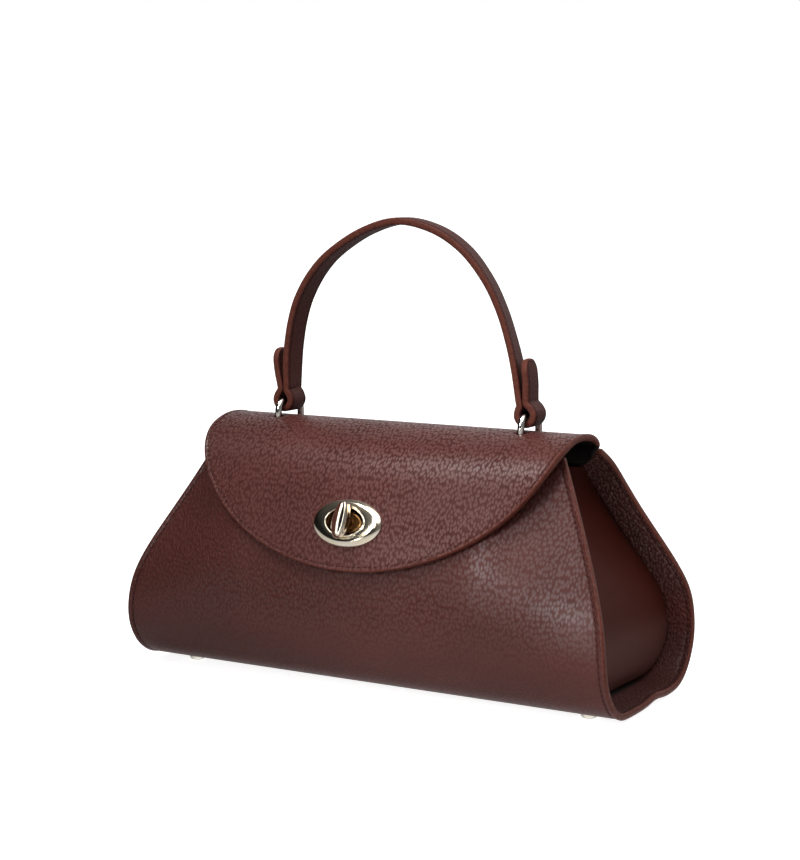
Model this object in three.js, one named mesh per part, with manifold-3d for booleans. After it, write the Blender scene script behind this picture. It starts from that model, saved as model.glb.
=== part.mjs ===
import * as THREE from "three";
import { mergeVertices } from "three/addons/utils/BufferGeometryUtils.js";
import Module from "manifold-3d";

const wasm = await Module();
wasm.setup();

// Leather handbag with a curved flap, an oval turn lock and one top handle.
// Millimetres, +Z up. X runs along the bag, -Y is the front, z = 0 is the floor under the feet.

// Driving dimensions
const wall = 3; // leather of the wrap and the flap, with its backing
const gussetWall = 2;
const tabWall = 2;
const seatGap = 0.35; // between neighbouring pieces
const sectionMiddle = 1.2; // depth of the section's middle, which becomes y = 0
const pinchStart = 70; // beyond this the front and back curve in towards the ends
const gussetInset = 20; // from the wrap's edge to the gusset
const backInsets = [24, 20, 16, 14, 14, 15.5, 18, 20, 20, 19, 17]; // along its back edge, from the bottom up
const gussetBow = 4; // how far a gusset is drawn in at its middle
const gussetFront = 0.965; // how far up the front rows it reaches
const flapHalfWidth = 111;
const flapDrop = 86.2; // from the flap's straight sides to its tip, along the leather
const flapTipHeight = 71.6;
const flapBulge = 3; // how far the lock pushes out the flap's middle
const hem = { length: 15, narrowed: 0.9 }; // the flap's rear end, drawn in between the wrap's edges
const strapWidth = 15;
const strapThick = 3.2;
const tailLength = 21.5; // strap end folded back up beside the handle's leg
const tailSplay = 2.9; // how far its tip stands off the leg
const wireRadius = 1.9;
const loopRoom = 1; // between the ring's bar and the strap looped round it
const barRise = 0.5; // of the ring's curved bar over the loop's middle
const ring = { x: 76.6, y: 6, z: 144, halfWidth: 11.6, halfHeight: 9.5, squareness: 3 };
const legHole = { radius: wireRadius + 0.8, inward: 0.4 }; // in the flap, for each leg of a ring
const lockHeight = 95.5; // of the lock's middle
const plate = { halfLength: 21, halfHeight: 13.2, thick: 3.4 };
const eyelet = { halfLength: 11.4, halfHeight: 7.6, rimHeight: 0.6 };
const boss = { halfLength: 9.8, halfHeight: 6, top: 1.8 };
const flange = { halfLength: 15, halfHeight: 9.6, thick: 1.6 };
const knob = { length: 20, width: 6, height: 6, round: 1.8, lift: 5.2, neckRadius: 3.2 };
const foot = { x: 125, frontY: -20, backY: 33, radius: 4.75, flatRadius: 2.8, height: 2.85 };

// The wrap from the front's top edge, round the bottom, to the back's top edge:
// half: half its width, yEdge and yMid: its depth at the side edges and at the middle.
const section = [
  { z: 135, half: 107.7, yEdge: -16.6, yMid: -23.8 },
  { z: 119, half: 115.7, yEdge: -22.7, yMid: -36.4 },
  { z: 102, half: 124.4, yEdge: -30.1, yMid: -46.5 },
  { z: 85.5, half: 133, yEdge: -38.1, yMid: -54.4 },
  { z: 70, half: 140.5, yEdge: -46, yMid: -59 },
  { z: 55, half: 145.9, yEdge: -52, yMid: -60 },
  { z: 40, half: 148.3, yEdge: -54.6, yMid: -58.2 },
  { z: 26, half: 149.1, yEdge: -53.2, yMid: -54.5 },
  { z: 13, half: 149.3, yEdge: -45.5, yMid: -46 },
  { z: 5.1, half: 148.8, yEdge: -34, yMid: -34 },
  { z: 3.2, half: 148.5, yEdge: -20, yMid: -20 },
  { z: 3.2, half: 148.5, yEdge: 6.5, yMid: 6.5 },
  { z: 3.2, half: 148.5, yEdge: 33, yMid: 33 },
  { z: 5.1, half: 148.8, yEdge: 47, yMid: 47 },
  { z: 13, half: 149.3, yEdge: 57.5, yMid: 58.5 },
  { z: 26, half: 149.1, yEdge: 65.8, yMid: 67.5 },
  { z: 40, half: 148.3, yEdge: 68.2, yMid: 71 },
  { z: 55, half: 145.9, yEdge: 67, yMid: 72 },
  { z: 70, half: 140.5, yEdge: 60.6, yMid: 69 },
  { z: 85, half: 133.2, yEdge: 53.5, yMid: 63.5 },
  { z: 100, half: 125.4, yEdge: 46.9, yMid: 56 },
  { z: 113.5, half: 118.5, yEdge: 42.3, yMid: 47 },
  { z: 125, half: 114.3, yEdge: 35.6, yMid: 35.6 },
  { z: 130.3, half: 112.6, yEdge: 29.8, yMid: 29.8 },
  { z: 134.8, half: 111.2, yEdge: 23.2, yMid: 23.2 },
];
const frontFloorRow = 10; // rows where the flat bottom starts and ends
const backFloorRow = 12;

// Flap's outer face in side view, from just outside the back's top edge, over the ridge, to the tip.
const flapProfile = [
  { y: 19.9, z: 132.9 },
  { y: 21.5, z: 136.2 },
  { y: 20.2, z: 139.4 },
  { y: 14, z: 142.8 },
  { y: 4.5, z: 144.5 },
  { y: -5, z: 144.6 },
  { y: -13, z: 143.2 },
  { y: -21, z: 140.4 },
  { y: -28.5, z: 136.2 },
  { y: -35, z: 130 },
  { y: -40.2, z: 122.5 },
  { y: -44.6, z: 114 },
  { y: -48.7, z: 105.2 },
  { y: -52.7, z: 96.5 },
  { y: -56.3, z: 88 },
  { y: -59.2, z: 79.5 },
  { y: -61.3, z: 71 },
  { y: -62.6, z: 62 },
];
// Rows of the back that the flap's rear end lies under, and how far below their outer face
const flapHem = [
  { row: 22.8, sunk: 3.5 },
  { row: 23.3, sunk: 3.6 },
  { row: 23.8, sunk: 4.1 },
];

// Handle's centre line in front view, from the left end to the right end, and how it is turned, in degrees
const arch = [
  { x: -74.3, z: 172, turn: -4 },
  { x: -73.3, z: 184, turn: -5 },
  { x: -70.7, z: 198, turn: -5 },
  { x: -66, z: 211.5, turn: -5 },
  { x: -57.2, z: 225.5, turn: -3 },
  { x: -45, z: 237.3, turn: -1 },
  { x: -24.5, z: 249.2, turn: 0 },
  { x: -2.5, z: 254.9, turn: 1 },
  { x: 19.6, z: 250.5, turn: 4 },
  { x: 37.5, z: 239.7, turn: 7 },
  { x: 51, z: 224, turn: 10 },
  { x: 59.6, z: 208, turn: 11 },
  { x: 65.2, z: 192.3, turn: 10 },
  { x: 69.2, z: 177.5, turn: 7 },
];
const endTurn = { left: 0, right: 2 }; // of each ring and the strap in it, in degrees
const loopLean = { left: 0, right: THREE.MathUtils.degToRad(13) }; // of each strap end at its ring
const neckHeight = 8; // of the sewn neck above the ring's bar

const grainLeather = { color: 0x4a2a24, roughness: 0.5, metalness: 0 };
const smoothLeather = { color: 0x3a1d18, roughness: 0.42, metalness: 0 };
const paleGold = { color: 0xe6d3ae, roughness: 0.14, metalness: 1 };

// Smooth curve through one column of a table, at row number t
function along(table, column, t) {
  const last = table.length - 1;
  const row = Math.min(Math.floor(t), last - 1);
  const part = t - row;
  const value = (index) => table[Math.min(Math.max(index, 0), last)][column];
  const [before, start, end, after] = [-1, 0, 1, 2].map((step) => value(row + step));
  const startSlope = (end - before) / 2;
  const endSlope = (after - start) / 2;
  const rise = end - start;
  const bend = 3 * rise - 2 * startSlope - endSlope + part * (startSlope + endSlope - 2 * rise);
  return start + part * (startSlope + part * bend);
}

const smoothRamp = (low, high, value) => THREE.MathUtils.smoothstep(value, low, high);

function indexedGeometry(points, triangles) {
  const geometry = new THREE.BufferGeometry();
  geometry.setFromPoints(points);
  geometry.setIndex(triangles);
  return geometry;
}

// Turns all faces round if they point inwards
function facingOut(points, triangles) {
  let volume = 0;
  const cross = new THREE.Vector3();
  for (let i = 0; i < triangles.length; i += 3) {
    const [a, b, c] = [0, 1, 2].map((corner) => points[triangles[i + corner]]);
    volume += cross.crossVectors(b, c).dot(a);
  }
  return indexedGeometry(points, volume < 0 ? [...triangles].reverse() : triangles);
}

// Closed wall between two faces of a grid: pointAt(column, row, side) with side 0 or 1
function sheetSolid(columns, rows, pointAt) {
  const points = [];
  const triangles = [];
  const sideSize = (columns + 1) * (rows + 1);
  const at = (side, i, j) => side * sideSize + i * (rows + 1) + j;
  for (const side of [0, 1])
    for (let i = 0; i <= columns; i++)
      for (let j = 0; j <= rows; j++) points.push(pointAt(i, j, side));
  for (let i = 0; i < columns; i++)
    for (let j = 0; j < rows; j++) {
      const quad = [[i, j], [i, j + 1], [i + 1, j + 1], [i + 1, j]];
      const [a, b, c, d] = quad.map(([p, q]) => at(0, p, q));
      const [e, f, g, h] = quad.map(([p, q]) => at(1, p, q));
      triangles.push(a, b, c, a, c, d, e, g, f, e, h, g);
    }
  const rim = [];
  for (let j = 0; j < rows; j++) rim.push([0, j]);
  for (let i = 0; i < columns; i++) rim.push([i, rows]);
  for (let j = rows; j > 0; j--) rim.push([columns, j]);
  for (let i = columns; i > 0; i--) rim.push([i, 0]);
  rim.forEach(([i, j], k) => {
    const [p, q] = rim[(k + 1) % rim.length];
    const [a, b, c, d] = [at(0, i, j), at(0, p, q), at(1, i, j), at(1, p, q)];
    triangles.push(b, a, c, b, c, d);
  });
  return facingOut(points, triangles);
}

// Closed ring: pointAt(i, j) with i along the ring and j round its section
function ringSolid(steps, sides, pointAt) {
  const points = [];
  const triangles = [];
  for (let i = 0; i < steps; i++) for (let j = 0; j < sides; j++) points.push(pointAt(i, j));
  const at = (i, j) => (i % steps) * sides + (j % sides);
  for (let i = 0; i < steps; i++)
    for (let j = 0; j < sides; j++) {
      const [a, b, c, d] = [at(i, j), at(i, j + 1), at(i + 1, j + 1), at(i + 1, j)];
      triangles.push(a, b, c, a, c, d);
    }
  return facingOut(points, triangles);
}

function toSolid(geometry) {
  const bare = geometry.clone();
  bare.deleteAttribute("normal");
  bare.deleteAttribute("uv");
  const merged = mergeVertices(bare, 1e-4);
  return new wasm.Manifold(
    new wasm.Mesh({
      numProp: 3,
      vertProperties: new Float32Array(merged.attributes.position.array),
      triVerts: new Uint32Array(merged.index.array),
    }),
  );
}

function toGeometry(solid) {
  const mesh = solid.getMesh();
  const geometry = new THREE.BufferGeometry();
  const places = new Float32Array(mesh.vertProperties);
  geometry.setAttribute("position", new THREE.BufferAttribute(places, mesh.numProp));
  geometry.setIndex(new THREE.BufferAttribute(new Uint32Array(mesh.triVerts), 1));
  return geometry;
}

const joined = (...geometries) => toGeometry(geometries.map(toSolid).reduce((sum, next) => sum.add(next)));
const cutBy = (geometry, ...tools) =>
  toGeometry(tools.map(toSolid).reduce((rest, tool) => rest.subtract(tool), toSolid(geometry)));

// Wrap: depth y of its outer face at x along the bag and row t of the section
function wrapDepth(x, t) {
  const pinch = smoothRamp(pinchStart, along(section, "half", t), Math.abs(x));
  return THREE.MathUtils.lerp(along(section, "yMid", t), along(section, "yEdge", t), pinch);
}

// Point of the wrap, sunk below its outer face
function wrapPoint(x, t, sunk) {
  const step = 0.01;
  const last = section.length - 1;
  const low = Math.max(t - step, 0);
  const high = Math.min(t + step, last);
  const down = new THREE.Vector3(
    0,
    wrapDepth(x, high) - wrapDepth(x, low),
    along(section, "z", high) - along(section, "z", low),
  );
  const across = new THREE.Vector3(2 * step, wrapDepth(x + step, t) - wrapDepth(x - step, t), 0);
  const outward = down.cross(across).normalize();
  return new THREE.Vector3(x, wrapDepth(x, t), along(section, "z", t)).addScaledVector(outward, -sunk);
}

const edgeInsets = [0, 10, gussetInset, gussetInset + gussetWall, 32, 46, 62]; // columns beside each edge
const middleColumns = 6;
const rowsPerSection = 2;

function wrapColumns(t) {
  const half = along(section, "half", t);
  const right = edgeInsets.map((inset) => half - inset).reverse();
  const across = (i) => (2 * (i + 1)) / middleColumns - 1;
  const middle = Array.from({ length: middleColumns - 1 }, (_, i) => right[0] * across(i));
  return [...right.map((x) => -x).reverse(), ...middle, ...right];
}

function bodyWrap() {
  const rows = (section.length - 1) * rowsPerSection;
  const columns = 2 * (edgeInsets.length - 1) + middleColumns;
  return sheetSolid(columns, rows, (i, j, side) => {
    const t = j / rowsPerSection;
    return wrapPoint(wrapColumns(t)[i], t, side * wall);
  });
}

// Gusset: straight from the wrap's front to its back at each level, drawn in at the middle
function gusset(hand) {
  const columns = 6;
  const rows = frontFloorRow * rowsPerSection;
  const backTable = backInsets.map((inset) => ({ inset }));
  return sheetSolid(columns, rows, (i, j, side) => {
    const level = j / rowsPerSection;
    const seat = (t, inset) => {
      const x = along(section, "half", t) - inset - side * gussetWall;
      return wrapPoint(hand * x, t, wall + seatGap);
    };
    const part = i / columns;
    const frontInset = THREE.MathUtils.lerp(backInsets[0], gussetInset, smoothRamp(0, 3, level));
    const front = seat(frontFloorRow - level * gussetFront, frontInset);
    const point = front.lerp(seat(backFloorRow + level, along(backTable, "inset", level)), part);
    point.x -= hand * gussetBow * 4 * part * (1 - part) * smoothRamp(0, 3, level);
    return point;
  });
}

// Flap's side view as a fine line with the length along it
const flapLine = (() => {
  const rear = flapHem.map(({ row, sunk }) => wrapPoint(0, row, sunk));
  const table = [...rear.map(({ y, z }) => ({ y, z })), ...flapProfile];
  const stepsPerRow = 12;
  const points = [];
  for (let i = 0; i <= (table.length - 1) * stepsPerRow; i++) {
    const t = i / stepsPerRow;
    points.push(new THREE.Vector2(along(table, "y", t), along(table, "z", t)));
  }
  const lengths = [0];
  for (let i = 1; i < points.length; i++) lengths.push(lengths[i - 1] + points[i].distanceTo(points[i - 1]));
  return { points, lengths };
})();

// Point and outward direction of the flap's outer face at a length along it
function flapAt(length) {
  const { points, lengths } = flapLine;
  let i = lengths.findIndex((value) => value > length);
  if (i < 1) i = i === 0 ? 1 : lengths.length - 1;
  const part = (length - lengths[i - 1]) / (lengths[i] - lengths[i - 1]);
  const point = points[i - 1].clone().lerp(points[i], part);
  const forward = points[i].clone().sub(points[i - 1]).normalize();
  return { point, outward: new THREE.Vector2(-forward.y, forward.x).negate() };
}

// Length along the flap where its outer face reaches a height on the front, and where it reaches a depth
function flapLengthAtHeight(z) {
  const { points, lengths } = flapLine;
  const i = points.findIndex((point) => point.x < 0 && point.y < z);
  const part = (points[i - 1].y - z) / (points[i - 1].y - points[i].y);
  return THREE.MathUtils.lerp(lengths[i - 1], lengths[i], part);
}

function flapLengthAtDepth(y) {
  const { points, lengths } = flapLine;
  const i = points.findIndex((point) => point.x < y);
  const part = (points[i - 1].x - y) / (points[i - 1].x - points[i].x);
  return THREE.MathUtils.lerp(lengths[i - 1], lengths[i], part);
}

const flapSides = flapLengthAtHeight(flapTipHeight) - flapDrop; // where its sides start to curve in

function flapPoint(x, length, sunk) {
  const { point, outward } = flapAt(length);
  const besideMiddle = 1 - (x / flapHalfWidth) ** 2;
  const pushed = flapBulge * besideMiddle ** 2 * smoothRamp(flapSides, flapSides + flapDrop / 2, length);
  point.addScaledVector(outward, pushed - sunk);
  return new THREE.Vector3(x, point.x, point.y);
}

const lockLength = flapLengthAtHeight(lockHeight);

// Turns a piece made flat, with Z as its height, onto the flap at the lock
function ontoLock(geometry) {
  const { outward } = flapAt(lockLength);
  return geometry.rotateX(Math.atan2(-outward.x, outward.y)).translate(...flapPoint(0, lockLength, 0));
}

function ovalShape(halfLength, halfHeight) {
  const shape = new THREE.Shape();
  shape.absellipse(0, 0, halfLength, halfHeight, 0, 2 * Math.PI);
  return shape;
}

// Pointed oval, as two arcs that meet at its ends
function pointedOval(size, angle) {
  const rise = Math.sin(angle);
  return new THREE.Vector2(size.halfLength * Math.cos(angle), size.halfHeight * rise * Math.abs(rise) ** 0.4);
}

function raised(shape, low, high, segments = 16) {
  const settings = { depth: high - low, bevelEnabled: false, curveSegments: segments };
  return new THREE.ExtrudeGeometry(shape, settings).translate(0, 0, low);
}

const endOf = (hand, ends) => (hand > 0 ? ends.right : ends.left);
const turnOf = (hand) => THREE.MathUtils.degToRad(endOf(hand, endTurn));
const legReach = ring.halfWidth - legHole.inward;
const ringLegs = [-1, 1].flatMap((hand) =>
  [-1, 1].map((end) => ({
    x: hand * ring.x - end * legReach * Math.sin(turnOf(hand)),
    y: ring.y + end * legReach * Math.cos(turnOf(hand)),
  })),
);

// Flap: straight over the ridge, ending in a half ellipse, cut for the lock and the rings' legs
function flap() {
  const columns = 24;
  const ridgeRows = 10;
  const frontRows = 14;
  const ridgeEnd = flapSides - 12;
  const blank = sheetSolid(columns, ridgeRows + frontRows, (i, j, side) => {
    const angle = (i / columns - 0.5) * Math.PI;
    const end = flapSides + flapDrop * Math.cos(angle);
    const overFront = THREE.MathUtils.lerp(ridgeEnd, end, (j - ridgeRows) / frontRows);
    const length = j <= ridgeRows ? (ridgeEnd * j) / ridgeRows : overFront;
    const width = THREE.MathUtils.lerp(hem.narrowed, 1, smoothRamp(0, hem.length, length));
    return flapPoint(flapHalfWidth * width * Math.sin(angle), length, side * wall);
  });
  const room = 0.6;
  const holeLength = 20;
  const legHoles = ringLegs.map(({ x, y }) =>
    new THREE.CylinderGeometry(legHole.radius, legHole.radius, holeLength, 10)
      .rotateX(Math.PI / 2)
      .translate(x, y, ring.z),
  );
  const lockHole = ontoLock(
    raised(ovalShape(eyelet.halfLength + room, eyelet.halfHeight + room), -2 * wall, 2 * wall, 12),
  );
  return cutBy(blank, lockHole, ...legHoles);
}

// Handle: the strap's centre line from its left free tip to its right free tip
function strapLine() {
  const loopRadius = wireRadius + loopRoom + strapThick / 2;
  const besideLeg = (strapThick + seatGap) / 2;
  const strapEnd = (hand, lean) => {
    const place = (out, up) => ({
      turn: endOf(hand, endTurn),
      x: hand * (ring.x + out * Math.cos(lean) - up * Math.sin(lean)),
      z: ring.z + ring.halfHeight - barRise + up * Math.cos(lean) + out * Math.sin(lean),
    });
    const tail = [1, 0.7, 0.35].map((part) =>
      place(besideLeg + tailSplay * part * (2 - part), neckHeight + tailLength * part),
    );
    const round = [35, -5, -48, -90, -132, -175, 145].map((degrees) => {
      const angle = THREE.MathUtils.degToRad(degrees);
      return place(loopRadius * Math.cos(angle), loopRadius * Math.sin(angle));
    });
    return [...tail, place(besideLeg, neckHeight), ...round, place(-besideLeg, neckHeight)];
  };
  return [...strapEnd(-1, loopLean.left), ...arch, ...strapEnd(1, loopLean.right).reverse()];
}

function handleStrap() {
  const line = strapLine();
  const stepsPerPoint = 2;
  const rows = (line.length - 1) * stepsPerPoint;
  const columns = 2;
  const centre = (t) => new THREE.Vector2(along(line, "x", t), along(line, "z", t));
  const fromTip = [0];
  for (let j = 1; j <= rows; j++)
    fromTip.push(fromTip[j - 1] + centre(j / stepsPerPoint).distanceTo(centre((j - 1) / stepsPerPoint)));
  return sheetSolid(columns, rows, (i, j, side) => {
    const t = j / stepsPerPoint;
    const step = 0.02;
    const middle = centre(t);
    const ahead = centre(Math.min(t + step, line.length - 1));
    const forward = ahead.sub(centre(Math.max(t - step, 0))).normalize();
    const toTip = Math.min(fromTip[j], fromTip[rows] - fromTip[j]);
    const round = Math.min(toTip / (strapWidth / 2), 1);
    const halfWidth = (strapWidth / 2) * Math.max(Math.sqrt(1 - (1 - round) ** 2), 0.25);
    const offset = strapThick * (0.5 - side);
    const reach = halfWidth * (i - columns / 2) * (2 / columns);
    const turn = THREE.MathUtils.degToRad(along(line, "turn", t));
    return new THREE.Vector3(
      middle.x - forward.y * offset - reach * Math.sin(turn),
      ring.y + reach * Math.cos(turn),
      middle.y + forward.x * offset,
    );
  });
}

// Ring: round wire bent to a blunt oval, standing in the bag's depth
function wireRing(hand) {
  const steps = 32;
  const sides = 8;
  const power = 2 / ring.squareness;
  const bend = (value) => Math.sign(value) * Math.abs(value) ** power;
  const path = (i) => {
    const angle = (2 * Math.PI * (i + 0.5)) / steps;
    const [across, up] = [Math.cos(angle), Math.sin(angle)].map(bend);
    return new THREE.Vector2(ring.halfWidth * across, ring.halfHeight * up);
  };
  const turn = turnOf(hand);
  return ringSolid(steps, sides, (i, j) => {
    const here = path(i);
    const forward = path(i + 1).sub(path(i - 1)).normalize();
    const angle = (2 * Math.PI * j) / sides;
    const out = wireRadius * Math.cos(angle);
    const across = here.x + forward.y * out;
    const aside = wireRadius * Math.sin(angle);
    return new THREE.Vector3(
      hand * ring.x + aside * Math.cos(turn) - across * Math.sin(turn),
      ring.y + aside * Math.sin(turn) + across * Math.cos(turn),
      ring.z + here.y - forward.x * out,
    );
  });
}

// Tab: leather strip under the ridge, dipping below the ring's lower bar
function ringTab(hand) {
  const columns = 10;
  const rows = 2;
  const tab = { halfLength: 16, halfWidth: 7, dip: 8 };
  const underBar = ring.z - ring.halfHeight - wireRadius - seatGap;
  return sheetSolid(columns, rows, (i, j, side) => {
    const x = tab.halfLength * ((2 * i) / columns - 1);
    const y = ring.y + tab.halfWidth * ((2 * j) / rows - 1);
    const seated = flapPoint(0, flapLengthAtDepth(y), wall + seatGap);
    const rise = smoothRamp(tab.dip / 2, tab.halfLength - 2, Math.abs(x));
    return new THREE.Vector3(
      hand * ring.x + x,
      seated.y,
      THREE.MathUtils.lerp(underBar, seated.z, rise) - side * tabWall,
    );
  });
}

// Plate: domed oval with a raised rim round its eyelet
const plateSection = [
  { part: 0, height: 0.12 },
  { part: 0, height: 1 },
  { part: 0.1, height: 1 + eyelet.rimHeight / plate.thick },
  { part: 0.26, height: 1 },
  { part: 0.5, height: 0.93 },
  { part: 0.75, height: 0.72 },
  { part: 0.93, height: 0.42 },
  { part: 1, height: 0.24 },
  { part: 1, height: 0.12 },
];

function lockPlate() {
  const steps = 36;
  return ontoLock(
    ringSolid(steps, plateSection.length, (i, j) => {
      const angle = (2 * Math.PI * i) / steps;
      const inner = pointedOval(eyelet, angle);
      const outer = new THREE.Vector2(plate.halfLength * Math.cos(angle), plate.halfHeight * Math.sin(angle));
      const { part, height } = plateSection[j];
      const point = inner.lerp(outer, part);
      return new THREE.Vector3(point.x, point.y, height * plate.thick);
    }),
  );
}

// Base: flange between the front panel and the flap, with a pointed-oval boss up into the eyelet
function lockBase() {
  const flangeTop = -wall - 1.7 * seatGap; // clear of the flap's curve
  const outline = Array.from({ length: 24 }, (_, i) => pointedOval(boss, (2 * Math.PI * i) / 24));
  return ontoLock(
    joined(
      raised(ovalShape(flange.halfLength, flange.halfHeight), flangeTop - flange.thick, flangeTop),
      raised(new THREE.Shape(outline), flangeTop - flange.thick / 2, boss.top),
    ),
  );
}

// Knob: rounded bar on a round neck, upright when the lock is shut
function turnKnob() {
  const flat = knob.width / 2 - knob.round;
  const straight = knob.length / 2 - knob.width / 2;
  const outline = new THREE.Shape();
  outline.absarc(0, straight, flat, 0, Math.PI);
  outline.absarc(0, -straight, flat, Math.PI, 2 * Math.PI);
  const bar = new THREE.ExtrudeGeometry(outline, {
    depth: knob.height - 2 * knob.round,
    bevelSize: knob.round,
    bevelThickness: knob.round,
    bevelSegments: 3,
    curveSegments: 5,
  }).translate(0, 0, knob.lift + knob.round);
  const neckBottom = boss.top + seatGap;
  const neckHeight = knob.lift + knob.height / 2 - neckBottom;
  const neck = new THREE.CylinderGeometry(knob.neckRadius, knob.neckRadius, neckHeight, 14)
    .rotateX(Math.PI / 2)
    .translate(0, 0, neckBottom + neckHeight / 2);
  return ontoLock(joined(bar, neck));
}

// Foot: low metal stud with a flat bottom
function metalFoot(x, y) {
  const { radius, flatRadius, height } = foot;
  const profile = [
    [0, 0],
    [flatRadius, 0],
    [0.88 * radius, 0.16 * height],
    [radius, 0.5 * height],
    [radius, height],
    [0, height],
  ].map(([r, z]) => new THREE.Vector2(r, z));
  return new THREE.LatheGeometry(profile, 14).rotateX(Math.PI / 2).translate(x, y, 0);
}

const bag = new THREE.Group();
bag.position.y = -sectionMiddle;

function addPiece(name, geometry, finish) {
  const mesh = new THREE.Mesh(geometry, new THREE.MeshStandardMaterial(finish));
  mesh.name = name;
  bag.add(mesh);
}

addPiece("body_wrap", bodyWrap(), grainLeather);
addPiece("flap", flap(), grainLeather);
addPiece("handle_strap", handleStrap(), smoothLeather);
addPiece("lock_plate", lockPlate(), paleGold);
addPiece("lock_base", lockBase(), paleGold);
addPiece("turn_knob", turnKnob(), paleGold);
for (const [side, hand] of [["left", -1], ["right", 1]]) {
  addPiece(`gusset_${side}`, gusset(hand), smoothLeather);
  addPiece(`ring_${side}`, wireRing(hand), paleGold);
  addPiece(`ring_tab_${side}`, ringTab(hand), smoothLeather);
  addPiece(`foot_front_${side}`, metalFoot(hand * foot.x, foot.frontY), paleGold);
  addPiece(`foot_back_${side}`, metalFoot(hand * foot.x, foot.backY), paleGold);
}

const part = new THREE.Group();
part.add(bag);

export default part;
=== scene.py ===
import math
import bpy
import numpy as np
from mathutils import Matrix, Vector
from mathutils.geometry import delaunay_2d_cdt


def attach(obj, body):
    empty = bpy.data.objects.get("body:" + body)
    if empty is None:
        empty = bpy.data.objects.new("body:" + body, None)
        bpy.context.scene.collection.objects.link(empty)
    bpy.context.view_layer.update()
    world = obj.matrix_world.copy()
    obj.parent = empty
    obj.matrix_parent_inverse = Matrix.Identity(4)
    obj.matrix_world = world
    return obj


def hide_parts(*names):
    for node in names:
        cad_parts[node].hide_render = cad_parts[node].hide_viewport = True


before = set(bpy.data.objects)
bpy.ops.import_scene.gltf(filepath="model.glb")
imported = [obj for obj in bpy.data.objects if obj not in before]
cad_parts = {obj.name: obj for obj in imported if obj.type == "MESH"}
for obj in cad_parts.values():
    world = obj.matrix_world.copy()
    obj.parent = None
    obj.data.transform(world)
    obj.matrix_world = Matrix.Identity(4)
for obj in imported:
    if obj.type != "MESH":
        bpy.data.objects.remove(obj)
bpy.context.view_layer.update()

# Shapes are worked out in millimetres; -Y is the bag's front and +Z is up.
mm = 0.001
sectionMiddle = 1.2  # depth of the section's middle, which is y = 0
wall = 3.0  # thickness of the wrap and the flap
hands = (("left", -1), ("right", 1))


def linked(name, data):
    thing = bpy.data.objects.new(name, data)
    bpy.context.scene.collection.objects.link(thing)
    return thing


cameraSettings = {"place": (0.523, -0.9071, 0.2734), "turnDegrees": (82.75, 0, 30), "lens": 80.0}
camera = linked("camera", bpy.data.cameras.new("camera"))
camera.data.lens = cameraSettings["lens"]
camera.location = cameraSettings["place"]
camera.rotation_euler = [math.radians(angle) for angle in cameraSettings["turnDegrees"]]
bpy.context.scene.camera = camera
print("camera placed")


def tableCurve(rows, t):  # smooth curve through a table's rows, at row numbers t
    rows = np.asarray(rows, float)
    last = len(rows) - 1
    t = np.clip(np.asarray(t, float), 0, last)
    row = np.minimum(np.floor(t).astype(int), last - 1)
    part = (t - row)[..., None]
    before, start, end, after = (rows[np.clip(row + step, 0, last)] for step in (-1, 0, 1, 2))
    startSlope, endSlope, rise = (end - before) / 2, (after - start) / 2, end - start
    bend = 3 * rise - 2 * startSlope - endSlope + part * (startSlope + endSlope - 2 * rise)
    return start + part * (startSlope + part * bend)


def smoothRamp(low, high, value):
    part = np.clip((value - low) / (high - low), 0, 1)
    return part * part * (3 - 2 * part)


def bump(middle, width, value):
    return np.exp(-(((value - middle) / width) ** 2))


def rounding(distance, radius):  # rises from 0 to 1 over a quarter of a circle
    return np.sqrt(1 - (1 - np.clip(distance / radius, 0, 1)) ** 2)


def signedPower(value, power):
    return np.sign(value) * np.abs(value) ** power


def unit(vectors):
    return vectors / np.linalg.norm(vectors, axis=-1, keepdims=True)


def runAlong(line):  # length along a line at each of its points
    return np.concatenate([[0], np.cumsum(np.linalg.norm(np.diff(line, axis=0), axis=1))])


def turnSteps(count):
    return np.linspace(0, 2 * math.pi, count, endpoint=False)


def ovalLoop(middle, long, high, count):
    angle = turnSteps(count)
    return np.asarray(middle) + np.stack([long * np.cos(angle), high * np.sin(angle)], axis=1)


def softened(rows, perRow, blur):  # the table's curve as a dense list, its kinks rounded off
    dense = tableCurve(rows, np.arange((len(rows) - 1) * perRow + 1) / perRow)
    reach = int(3 * blur * perRow)
    weights = bump(0, blur * perRow, np.arange(-reach, reach + 1))
    weights /= weights.sum()
    head = 2 * dense[:1] - dense[reach:0:-1]
    tail = 2 * dense[-1:] - dense[-2:-reach - 2:-1]
    longer = np.concatenate([head, dense, tail])
    return np.stack([np.convolve(column, weights, "valid") for column in longer.T], axis=1)


def denseAt(dense, perRow, t):
    place = np.clip(np.asarray(t, float) * perRow, 0, len(dense) - 1)
    return np.stack([np.interp(place, np.arange(len(dense)), column) for column in dense.T], axis=-1)


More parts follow.
